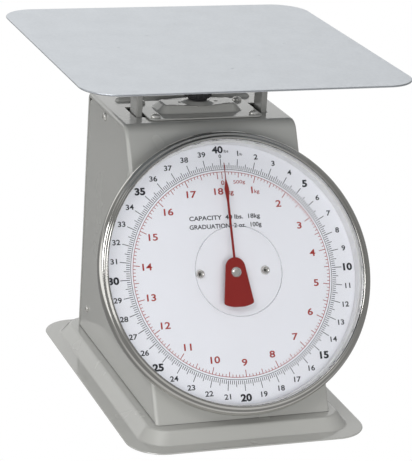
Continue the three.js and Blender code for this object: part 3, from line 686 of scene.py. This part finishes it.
def make_housing():
    """The wrap with its openings, its bead and its panels."""
    section = wrap_section()
    outlines = {}
    for _, inset in section:
        outlines.setdefault(inset, housing_outline(inset))
    stations = len(outlines[section[0][1]])
    rings = [[(x, *outlines[inset][i]) for x, inset in section] for i in range(stations)]
    shell = loft("housing_wrap", rings)
    slots = []
    for side, sign in (("left", -1), ("right", 1)):
        low, high = box_mm(f"post_{side}")
        outer = max(abs(low[0]), abs(high[0]))
        x = sorted((sign * (outer + 1), sign * (outer + 1 - SLOT_WIDTH)))
        slots.append(block(
            "slot", x[0], x[1], low[1] - SLOT_FRONT, high[1] + SLOT_REAR,
            HOUSING_TOP - CUT_DEPTH, HOUSING_TOP + CUT_DEPTH))
    pan_low, pan_high = box_mm("cover_plate")
    middle = (pan_low[1] + pan_high[1]) / 2
    slots.append(block(
        "window", -WINDOW_HALF_WIDTH, WINDOW_HALF_WIDTH,
        middle - WINDOW_HALF_DEPTH, middle + WINDOW_HALF_DEPTH,
        HOUSING_TOP - CUT_DEPTH, HOUSING_TOP + CUT_DEPTH))
    profile = [(0, -40), (SHAFT_HOLE, -40), (SHAFT_HOLE, -4), (0, -4)]
    cut_away(shell, *slots, lathe("shaft_hole", profile, TO_DIAL, segments=48))
    place(shell, "frame", "grey_paint", ["housing_wrap"])
    make_bead()
    for side, sign in (("left", -1), ("right", 1)):
        make_side_panel(side, sign)


def make_bead():
    """The pressed stiffening bead across the top sheet."""
    steps = 8
    rings = []
    for k in range(steps + 1):
        angle = math.radians(90 * k / steps)
        grow = BEAD_HALF_WIDTH * (1 - math.cos(angle)) ** 0.8
        shrink = min(grow, BEAD_HALF_WIDTH - 0.05)
        x = BEAD_HALF_LENGTH - shrink
        rings.append(round_rect(
            -x, x, BEAD_Y - BEAD_HALF_WIDTH + shrink, BEAD_Y + BEAD_HALF_WIDTH - shrink,
            BEAD_HALF_WIDTH - shrink - 0.01, HOUSING_TOP - 0.2 + (BEAD_HEIGHT + 0.1) * math.sin(angle), 8))
    place(loft("housing_bead", rings), "frame", "grey_paint")


def make_side_panel(side, sign):
    """A side panel let into the wrap, its rim turned in."""
    face = HALF_WIDTH - 0.5
    gap = 0.45
    rim = [(0.0, face - 2.2), (0.0, face - 0.9), (0.25, face - 0.3), (0.9, face)]
    rings = []
    for inset, x in rim:
        outline = housing_outline(SEAM_INSET + gap + inset, 14, 9)
        rings.append([(sign * x, y, max(z, wrap_low[2] + 0.4)) for y, z in outline])
    place(loft(f"side_panel_{side}", rings), "frame", "grey_paint", [f"side_panel_{side}"])
    for level in ("upper", "lower"):
        make_side_screw(f"side_screw_{side}_{level}", sign)


def screw_profile(r, height):
    """Half section of a pan-head screw's head, from its rim to the middle."""
    rim = [(r, 0), (r, height * 0.35), (r * 0.93, height * 0.62), (r * 0.78, height * 0.85)]
    return rim + [(r * 0.5, height), (0, height)]


def cross_recess(size, depth, top, matrix):
    """Tools in the shape of a cross-head driver's tip."""
    width = size * 0.22
    tool = block("recess", -size, size, -width, width, top - depth, top + 1, matrix)
    other = block("recess_b", -width, width, -size, size, top - depth, top + 1, matrix)
    return [tool, other]


def headed_screw(node, r, height, matrix, stem_r, stem_length):
    """A pan-head screw with a cross recess, standing along the matrix's third axis."""
    profile = [(0, -stem_length), (stem_r, -stem_length), (stem_r, 0)] + screw_profile(r, height)
    screw = lathe(f"{node}_head", profile, matrix, segments=40)
    cut_away(screw, *cross_recess(r * 0.5, height * 0.55, height, matrix))
    # The brighter, partly matt steel on the screw head is painted sheen.
    place(screw, "frame", "polished_steel", [node], "painted_sheen_screw_steel")


def make_side_screw(node, sign):
    """A screw that stands out sideways from its panel."""
    low, high = box_mm(node)
    y = (low[1] + high[1]) / 2
    z = (low[2] + high[2]) / 2
    out = Matrix(((0, 0, sign, 0), (sign, 0, 0, 0), (0, 1, 0, 0), (0, 0, 0, 1)))
    face = sign * (HALF_WIDTH - 0.35)
    matrix = Matrix.Translation(Vector((face, y, z)) * MM) @ out
    r = (high[1] - low[1]) / 2
    headed_screw(node, r, r * 0.58, matrix, 1.3, 3.2)


# ---------- cover plate, its screws and the zero knob ----------

cover_low, cover_high = box_mm("cover_plate")
AXIS_Y = (box_mm("zero_screw")[0][1] + box_mm("zero_screw")[1][1]) / 2
PAN_FRONT, PAN_REAR, PAN_HALF = 12.3, 42.0, 36.0
PAN_HEIGHT, PAN_SLOPE = 6.0, 6.0
PAN_CORNER = 9.5
BOSS_FOOT, BOSS_TOP, BOSS_HEIGHT, BOSS_HOLE = 13.5, 9.0, 2.0, 3.6
COVER_CORNER = 6
COVER_HOLE, COVER_HOLE_X = 1.6, 15.6
COVER_SCREW_HEAD, COVER_SCREW_HEIGHT = 3.9, 2.6


def circle_ring(r, z, count):
    """A circle about the knob's axis whose points pair up with those of round_rect."""
    points = []
    per_corner = count // 4
    for corner in range(4):
        for k in range(per_corner):
            angle = math.radians(-90 + 90 * corner + 90 * (k + 0.5) / per_corner)
            points.append((r * math.cos(angle), AXIS_Y + r * math.sin(angle), z))
    return points


def pan_ring(inset, z):
    """One ring of the pressed pan, moved in by inset."""
    return round_rect(
        -PAN_HALF + inset, PAN_HALF - inset, PAN_FRONT + inset, PAN_REAR - inset, PAN_CORNER - inset, z)


def make_cover():
    """The cover plate: rim, pan and boss from one sheet, with two small holes, and its screws."""
    low = cover_low[2]
    flat = low + SHEET
    high = flat + PAN_HEIGHT
    top = high + BOSS_HEIGHT
    x = cover_high[0]
    y0, y1 = cover_low[1], cover_high[1]
    rim = [(3, low), (0.4, low), (0, low + 0.4), (0, flat - 0.4), (0.4, flat), (2, flat)]
    rings = [round_rect(-x + i, x - i, y0 + i, y1 - i, COVER_CORNER - i, z) for i, z in rim]
    rings += [pan_ring(-1.2, flat), pan_ring(-0.2, flat + 0.25), pan_ring(0.6, flat + 0.9)]
    rings += [pan_ring(PAN_SLOPE - 1.2, high - 0.9), pan_ring(PAN_SLOPE - 0.4, high - 0.25)]
    rings.append(pan_ring(PAN_SLOPE + 0.8, high))
    boss = [(BOSS_FOOT + 0.5, high), (BOSS_FOOT - 0.3, high + 0.25)]
    boss += [(BOSS_TOP + 0.5, high + (BOSS_HEIGHT - 0.25)), (BOSS_TOP - 0.4, top)]
    boss += [(BOSS_HOLE, top), (BOSS_HOLE, top - SHEET)]
    rings += [circle_ring(r, z, len(rings[0])) for r, z in boss]
    plate = loft("cover_plate", rings, capped=False)
    drill = [(0, 210), (COVER_HOLE, 210), (COVER_HOLE, 240), (0, 240)]
    holes = [lathe("hole", drill, centre=(sign * COVER_HOLE_X, AXIS_Y), segments=32) for sign in (-1, 1)]
    sheet = plate.modifiers.new("sheet", "SOLIDIFY")
    sheet.thickness = SHEET * MM * 0.6
    sheet.offset = -1
    apply_modifiers(plate)
    cut_away(plate, *holes)
    place(plate, "frame", "grey_paint", ["cover_plate"])
    for where in ("front_left", "front_right", "rear_left", "rear_right"):
        make_cover_screw(f"cover_screw_{where}", flat + 0.1, 31 * len(where))


def make_cover_screw(node, z, turned):
    """A screw of the cover plate, turned by some degrees as screws are."""
    low, high = box_mm(node)
    centre = Vector(((low[0] + high[0]) / 2, (low[1] + high[1]) / 2, z)) * MM
    matrix = Matrix.Translation(centre) @ Matrix.Rotation(math.radians(turned), 4, "Z")
    headed_screw(node, COVER_SCREW_HEAD, COVER_SCREW_HEIGHT, matrix, 1.7, 3.5)


KNOB_FLUTES = 18


def knob_ring(radius, z, depth=0.0):
    """One ring of the knob; depth is how far its flutes go in."""
    count = KNOB_FLUTES * 8
    points = []
    for k in range(count):
        angle = 2 * math.pi * k / count
        r = radius - depth * (0.5 - 0.5 * math.cos(KNOB_FLUTES * angle)) ** 2
        points.append((r * math.cos(angle), AXIS_Y + r * math.sin(angle), z))
    return points


def make_knob():
    """A fluted knob on a neck, dished on top."""
    low, high = box_mm("zero_knob")
    r = (high[0] - low[0]) / 2
    foot, top = low[2], high[2]
    neck = foot + 2.1
    shape = [(3.2, foot), (7.6, foot), (8.1, foot + 0.4), (8.2, neck - 0.5), (8.8, neck - 0.1)]
    shape += [(r - 1.4, neck + 0.1), (r - 0.4, neck + 0.6, 0.2), (r, neck + 1.4, 0.8)]
    shape += [(r, top - 2.6, 0.8), (r - 0.4, top - 1.4, 0.5), (r - 1.4, top - 0.5), (r - 2.6, top - 0.1)]
    shape += [(r - 4.4, top), (r - 5.0, top - 0.5), (1.5, top - 0.7)]
    knob = loft("zero_knob", [knob_ring(*level) for level in shape])
    place(knob, "zero_adjuster", "black_plastic", ["zero_knob"])


# ---------- platform and posts ----------

plate_low, plate_high = box_mm("platform_plate")
PLATE_CORNER = 28
WELD_R, WELD_DEPTH = 1.7, 0.2
# The spot welds, from the middle of the plate.
WELDS = [(0, 72), (0, -72), (71, 0), (-71, 0), (-35.5, 36), (35.5, -36)]
POST_SHEET, POST_TAB = 5, 2.5


def make_platform():
    """The plate with rounded edges and its spot welds."""
    x = plate_high[0]
    y0, y1 = plate_low[1], plate_high[1]
    z0, z1 = plate_low[2], plate_high[2]
    half = (z1 - z0) / 2
    steps = 8
    rings = []
    for k in range(steps + 1):
        angle = math.radians(-90 + 180 * k / steps)
        inset = half * (1 - math.cos(angle))
        z = z0 + half + half * math.sin(angle)
        rings.append(round_rect(-x + inset, x - inset, y0 + inset, y1 - inset, PLATE_CORNER - inset, z, 16))
    plate = loft("platform_plate", rings)
    middle = (y0 + y1) / 2
    cut_away(plate, *[dimple_tool(sx, middle + sy, z1, WELD_R, WELD_DEPTH) for sx, sy in WELDS])
    place(plate, "platform", "satin_steel", ["platform_plate"])


def make_posts():
    """Two flat posts, each with a tab turned in under the plate."""
    for side, sign in (("left", -1), ("right", 1)):
        node = f"post_{side}"
        low, high = box_mm(node)
        outer = max(abs(low[0]), abs(high[0]))
        inner = outer - POST_SHEET
        tab = min(abs(low[0]), abs(high[0]))
        z0, z1 = low[2], high[2]
        outline = [(outer, z0), (outer, z1), (tab, z1)]
        outline += [(tab, z1 - POST_TAB), (inner, z1 - POST_TAB), (inner, z0)]
        points = [(sign * x, z) for x, z in outline]
        matrix = Matrix(((1, 0, 0, 0), (0, 0, -1, 0), (0, 1, 0, 0), (0, 0, 0, 1)))
        post = prism(node, points, -high[1], -low[1], matrix)
        bevel(post, 0.9, 3)
        # The darker enamel on the posts is painted shade for the shadow under the platform.
        place(post, "platform", "grey_paint", [node], "painted_shade_post_paint")


# ---------- dial ----------

BLACK_RING, RED_RING, RING_WIDTH = 84.0, 82.1, 0.42
FULL_KG = 18.1437
POUND_TICKS, KILO_TICKS = 320, 181
PRINT_HEIGHT = 0.03
CAP_HEIGHT = 0.69
# How far the numerals are from the centre.
POUNDS_AT, FIVES_AT, KILOS_AT, GRAMS_AT = 97.8, 98.3, 70.6, 74.8
# Every so many ticks: start, end and width of the tick; the first that fits is drawn.
POUND_TICK_SIZES = {8: (84.9, 92.9, 0.55), 4: (84.8, 89.6, 0.5), 1: (84.7, 87.7, 0.5)}
KILO_TICK_SIZES = {10: (76.5, 82, 0.58), 5: (78.1, 82, 0.52), 1: (80, 82, 0.48)}
DIAL_R, DIAL_HOLE = 104.6, 3.4
DIAL_SCREW_X, DIAL_SCREW_V = 27.4, 1.2


class Print:
    """Collects flat printed shapes on the dial and makes one mesh of them."""

    def __init__(self):
        self.mesh = bmesh.new()

    def circle(self, radius, width):
        """A printed line all the way round."""
        steps = 240
        angles = [2 * math.pi * k / steps for k in range(steps)]
        edges = []
        for r in (radius + width / 2, radius - width / 2):
            edges.append([self.mesh.verts.new((r * math.sin(a), r * math.cos(a), 0)) for a in angles])
        outer, inner = edges
        for k in range(steps):
            n = (k + 1) % steps
            self.mesh.faces.new((outer[k], outer[n], inner[n], inner[k]))

    def ticks(self, count, step, sizes):
        """Radial lines every so many degrees."""
        for k in range(count):
            every = next(n for n in sizes if k % n == 0)
            self.tick(k * step, *sizes[every])

    def tick(self, degrees, start, end, width):
        """One radial line, its angle counted clockwise from the top."""
        a = math.radians(degrees)
        along = Vector((math.sin(a), math.cos(a)))
        side = Vector((along.y, -along.x)) * width / 2
        corners = [along * start - side, along * start + side, along * end + side, along * end - side]
        self.mesh.faces.new([self.mesh.verts.new((c.x, c.y, 0)) for c in corners])

    def text(self, words, x, v, height, weight=0.0, wide=1.18):
        """Words centred at (x, v), with capitals of the given height."""
        curve = bpy.data.curves.new("words", "FONT")
        curve.body = words
        curve.size = 1.0
        curve.offset = weight
        curve.resolution_u = 4
        obj = bpy.data.objects.new("words", curve)
        bpy.context.collection.objects.link(obj)
        bpy.context.view_layer.update()
        flat = bpy.data.meshes.new_from_object(obj.evaluated_get(bpy.context.evaluated_depsgraph_get()))
        xs = [p.co.x for p in flat.vertices]
        middle = Vector(((min(xs) + max(xs)) / 2, CAP_HEIGHT / 2, 0))
        scale = height / CAP_HEIGHT
        size = Matrix.Diagonal((scale * wide, scale, scale, 1))
        flat.transform(Matrix.Translation((x, v, 0)) @ size @ Matrix.Translation(-middle))
        self.mesh.from_mesh(flat)
        bpy.data.objects.remove(obj)
        bpy.data.meshes.remove(flat)

    def text_at(self, words, degrees, radius, height, weight, wide=1.18, right=0, down=0):
        """Words at an angle clockwise from the top, moved a little right and down."""
        a = math.radians(degrees)
        x = radius * math.sin(a) + right
        self.text(words, x, radius * math.cos(a) - down, height, weight, wide)

    def object(self, name, material):
        """Makes the piece from what has been collected, all of it facing outwards."""
        for vert in self.mesh.verts:
            vert.co = Vector((vert.co.x, vert.co.y, PRINT_HEIGHT)) * MM
        for face in self.mesh.faces:
            face.normal_update()
            if face.normal.z < 0:
                face.normal_flip()
        mesh = bpy.data.meshes.new(name)
        self.mesh.to_mesh(mesh)
        self.mesh.free()
        mesh.transform(TO_DIAL)
        obj = bpy.data.objects.new(name, mesh)
        bpy.context.collection.objects.link(obj)
        place(obj, "frame", "dial_print", material=material)


def pounds_print():
    """The black scale of 40 lb, clockwise, and two plain lines of capacity and graduation."""
    ink = Print()
    ink.circle(BLACK_RING, RING_WIDTH)
    ink.ticks(POUND_TICKS, 360 / POUND_TICKS, POUND_TICK_SIZES)
    for pound in range(1, 40):
        if pound % 5 == 0:
            ink.text_at(str(pound), 9 * pound, FIVES_AT, 5.3, 0.045)
        else:
            ink.text_at(str(pound), 9 * pound, POUNDS_AT, 4.0, 0.022)
    ink.text_at("lb", 9, POUNDS_AT, 2.0, 0.01, right=2.6, down=0.8)
    ink.text("40", -1.6, 100.2, 5.2, 0.04)
    ink.text("lbs", 5.6, 98.8, 2.2, 0.015)
    ink.text("0", 0, 94.9, 2.7, 0.02)
    ink.text("CAPACITY  40 lbs.  18kg", -1.5, 45.6, 3.4, 0.02, 1.17)
    ink.text("GRADUATION  2 oz.  100g", -1.5, 38.7, 3.4, 0.02, 1.06)
    ink.object("dial_print_black", "ink_black")


def kilograms_print():
    """The red scale of 18 kg inside the black one."""
    ink = Print()
    ink.circle(RED_RING, RING_WIDTH)
    ink.ticks(KILO_TICKS, 360 / 10 / FULL_KG, KILO_TICK_SIZES)
    for kilo in range(1, 18):
        ink.text_at(str(kilo), 360 * kilo / FULL_KG, KILOS_AT, 5.2, 0.02, 1.3)
    ink.text_at("kg", 360 / FULL_KG, KILOS_AT, 2.9, 0.012, right=4.0, down=1.2)
    ink.text("18", -4.2, 66.5, 5.0, 0.02, 1.3)
    ink.text("kg", 5.6, 65.6, 3.6, 0.02)
    ink.text("0", 0, 73.4, 3.4, 0.015)
    ink.text_at("500g", 10.7, GRAMS_AT, 2.7, 0.008, 1.35)
    ink.object("dial_print_red", "ink_red")


def make_dial():
    """The dial sheet with its two prints, and everything round it."""
    r, hole = DIAL_R, DIAL_HOLE
    profile = [(hole, -0.8), (r - 0.2, -0.8), (r, -0.6), (r, -0.2), (r - 0.2, 0)]
    profile += [(hole + 0.2, 0), (hole, -0.2), (hole, -0.8)]
    face = lathe("dial_face", profile, TO_DIAL, segments=192)
    drill = [(0, -4), (1.8, -4), (1.8, 4), (0, 4)]
    places = [(sign * DIAL_SCREW_X, DIAL_SCREW_V) for sign in (-1, 1)]
    cut_away(face, *[lathe("hole", drill, TO_DIAL, place_at, 32) for place_at in places])
    place(face, "frame", "dial_print", ["dial_face"])
    pounds_print()
    kilograms_print()
    make_pan()
    make_lens()
    make_bezel()
    for side, place_at in zip(("left", "right"), places):
        make_dial_screw(f"dial_screw_{side}", place_at)


def make_dial_screw(node, place_at):
    """A screw with a domed head that is hollow in the middle."""
    profile = [(1.1, -8.4), (1.5, -8.4), (1.5, 0.1), (3.7, 0.1), (3.8, 0.4), (3.6, 1.3), (3.0, 2.0)]
    profile += [(2.3, 2.2), (1.8, 1.9), (1.5, 1.2), (1.1, 0.8), (1.1, -8.4)]
    screw = lathe(node, profile, TO_DIAL, place_at, 48)
    # The brighter, partly matt steel on the screw head is painted sheen.
    place(screw, "frame", "polished_steel", [node], "painted_sheen_screw_steel")


def make_pan():
    """The drum behind the dial, open to the front, with a round bend between its floor and its wall."""
    low, wall, r = -9.6, 1.0, 106.5
    profile = [(6, low), (r - 2.5, low), (r - 0.8, low + 0.5), (r, low + 2), (r, 7), (r - wall, 7)]
    profile += [(r - wall, low + 2.4), (r - 1.7, low + 1.4), (r - 2.8, low + wall), (6, low + wall), (6, low)]
    pan = lathe("dial_pan", profile, TO_DIAL, segments=192)
    place(pan, "frame", "polished_steel", ["dial_pan"])


def make_lens():
    """Slightly domed clear cover with a fine moulded circle at the radius mark."""
    r, seat, thick, dome, mark = 108, 9.3, 2, 4.5, 36
    ridge = {mark - 0.45: 0.12, mark: 0.22, mark + 0.45: 0.12}

    def crown(radius, base):
        return base + dome * (1 - (radius / r) ** 2)

    radii = [0, 12, 24, mark - 0.9, mark - 0.45, mark, mark + 0.45, mark + 0.9, 50, 64, 78, 92, 104, r]
    lower = [(q, crown(q, seat)) for q in radii]
    upper = [(q, crown(q, seat + thick) + ridge.get(q, 0)) for q in radii]
    lens = lathe("lens", lower + upper[::-1], TO_DIAL, segments=192)
    place(lens, "frame", "clear_lens", ["lens"])
    # The dark see-through ring along the moulded circle is painted shade.
    line = crown(mark, seat + thick) - 0.5
    profile = [(mark - 0.35, line), (mark + 0.35, line), (mark, line + 0.3), (mark - 0.35, line)]
    ring = lathe("painted_shade_lens_line", profile, TO_DIAL)
    place(ring, "frame", "clear_lens", material="painted_shade_lens_line")


def make_bezel():
    """Polished ring: skirt, rounded bead and a lip over the lens; and the lens's gasket."""
    sheet = 0.7
    outer = [(107.8, -9.2), (109.2, -5.0), (110.8, -0.5), (112.3, 4.0), (113.0, 7.6), (113.05, 9.8)]
    outer += [(112.5, 11.8), (111.4, 13.4), (110.2, 14.1), (109.2, 14.0), (108.4, 14.5)]
    outer += [(107.5, 15.3), (106.6, 15.3), (106.0, 14.6), (105.6, 13.4), (105.3, 11.8)]
    curve = smooth_line(outer, 5)
    inner = []
    for i, (r, w) in enumerate(curve):
        a = Vector(curve[max(i - 1, 0)])
        b = Vector(curve[min(i + 1, len(curve) - 1)])
        along = (b - a).normalized()
        inner.append((r - along.y * sheet, w + along.x * sheet))
    profile = curve + inner[::-1] + [curve[0]]
    bezel = lathe("bezel", profile, TO_DIAL, segments=256, smooth=50)
    place(bezel, "frame", "polished_steel", ["bezel"])
    gasket = [(104.3, 0.35), (105.1, 0.35), (105.1, 7.3), (107.4, 7.4), (107.5, 8.9)]
    gasket += [(104.4, 9.0), (104.3, 0.35)]
    place(lathe("lens_gasket", gasket, TO_DIAL, segments=192), "frame", "white_rubber", ["lens_gasket"])


# ---------- pointer ----------

def make_pointer():
    """The blade, with its long tip, round shoulder and broad tail, and the slotted hub screw."""
    tip, barb, neck, tail, tail_half = 88, 67, 57, -27.6, 12.4
    shoulder, shoulder_width, shoulder_height = 3.6, 8.3, 8.4
    right = [(0.25, tip), (0.3, barb + 8), (1.9, barb), (0.9, neck), (0.9, 12.2)]
    steps = 8
    for k in range(steps + 1):
        angle = math.radians(84 - 78 * k / steps)
        right.append((shoulder_width * math.cos(angle), shoulder + shoulder_height * math.sin(angle)))
    right.append((tail_half - 0.6, tail + 7.5))
    corner = [(tail_half - 0.1, tail + 4.6), (tail_half - 0.2, tail + 3.0), (tail_half - 1.6, tail + 1.9)]
    edge = [(tail_half - 3.4, tail + 1.2), (4.5, tail + 0.15), (0, tail)]
    right += smooth_line(corner, 4) + smooth_line(edge, 5)[:-1]
    outline = right + [(0, tail)] + [(-x, v) for x, v in reversed(right)]
    blade = prism("pointer", outline, 7.2, 8.2, TO_DIAL)
    bevel(blade, 0.22, 2, 40)
    place(blade, "pointer_assembly", "red_paint", ["pointer"])
    profile = [(0, 3), (1.4, 3), (1.4, 8.3), (4.2, 8.3), (4.2, 8.9), (3.9, 9.6), (3.2, 10.2), (2.0, 10.6)]
    profile.append((0, 10.7))
    hub = lathe("hub_screw", profile, TO_DIAL, segments=48)
    turned = TO_DIAL @ Matrix.Rotation(0.5, 4, "Z")
    cut_away(hub, block("slot_cut", -5, 5, -0.45, 0.45, 9.6, 12, turned))
    # The brighter, partly matt steel on the hub screw is painted sheen.
    place(hub, "pointer_assembly", "polished_steel", ["hub_screw"], "painted_sheen_screw_steel")


# ---------- springs ----------

SPRING_X = 14
WIRE, HOOK_WIRE, HOOK_R = 0.76, 0.48, 3.2
COIL_R, COIL_START_R, COIL_TURNS = 5.0, 1.2, 13
HOOK_TO_COIL = 2.2


def hook_path(x, centre, start, end):
    """A loop about a level axis, from one angle to another in degrees."""
    steps = 16
    angles = [math.radians(start + (end - start) * k / steps) for k in range(steps + 1)]
    return [(x + HOOK_R * math.cos(a), AXIS_Y, centre + HOOK_R * math.sin(a)) for a in angles]


def coil_path(x, top, low):
    """The coil from top to low, drawn in at both ends to where the hooks begin."""
    steps = COIL_TURNS * 20
    path = []
    for k in range(steps + 1):
        t = k / steps
        angle = 2 * math.pi * COIL_TURNS * t
        ease = min(1, t * COIL_TURNS * 2, (1 - t) * COIL_TURNS * 2)
        r = COIL_START_R + (COIL_R - COIL_START_R) * ease
        path.append((x + r * math.cos(angle), AXIS_Y + r * math.sin(angle), top + (low - top) * t))
    return path


def make_spring(side, sign):
    """An extension spring with a loop at each end; the top loop is of thinner wire."""
    node = f"spring_{side}"
    low, high = box_mm(node)
    x = sign * SPRING_X
    top_loop = high[2] - HOOK_WIRE - HOOK_R
    low_loop = low[2] + WIRE + HOOK_R
    coil_top = top_loop - HOOK_R - HOOK_TO_COIL
    path = hook_path(x, top_loop, -200, -450)
    path += coil_path(x, coil_top, low_loop + HOOK_R + HOOK_TO_COIL)
    path += hook_path(x, low_loop, 90, -160)
    curve = bpy.data.curves.new(node, "CURVE")
    curve.dimensions = "3D"
    curve.bevel_depth = WIRE * MM
    curve.bevel_resolution = 3
    curve.use_fill_caps = True
    spline = curve.splines.new("POLY")
    spline.points.add(len(path) - 1)
    for point, p in zip(spline.points, path):
        point.co = (*(Vector(p) * MM), 1)
        point.radius = HOOK_WIRE / WIRE if p[2] > coil_top else 1
    obj = bpy.data.objects.new(node, curve)
    bpy.context.collection.objects.link(obj)
    bpy.context.view_layer.update()
    graph = bpy.context.evaluated_depsgraph_get()
    mesh = bpy.data.meshes.new_from_object(obj.evaluated_get(graph))
    bpy.data.objects.remove(obj)
    coil = bpy.data.objects.new(node, mesh)
    bpy.context.collection.objects.link(coil)
    mesh.polygons.foreach_set("use_smooth", [True] * len(mesh.polygons))
    mesh.materials.append(MAT["plain_steel"])
    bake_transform(coil)
    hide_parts(node)


# ---------- CAD pieces that keep their shape ----------

def dress_cad_nodes():
    """Gives every CAD node that is still shown the material of its slot."""
    slots = {part["node"]: part["material_slot"] for part in frame["record"]["subparts"]}
    for node, obj in frame["nodes"].items():
        for slot in obj.material_slots:
            slot.material = MAT[slots[node]]


make_camera()
make_studio()
bpy.context.scene.view_settings.view_transform = "Standard"
dress_cad_nodes()
make_base()
make_housing()
make_cover()
make_knob()
make_platform()
make_posts()
make_dial()
make_pointer()
for spring_side, spring_sign in (("left", -1), ("right", 1)):
    make_spring(spring_side, spring_sign)
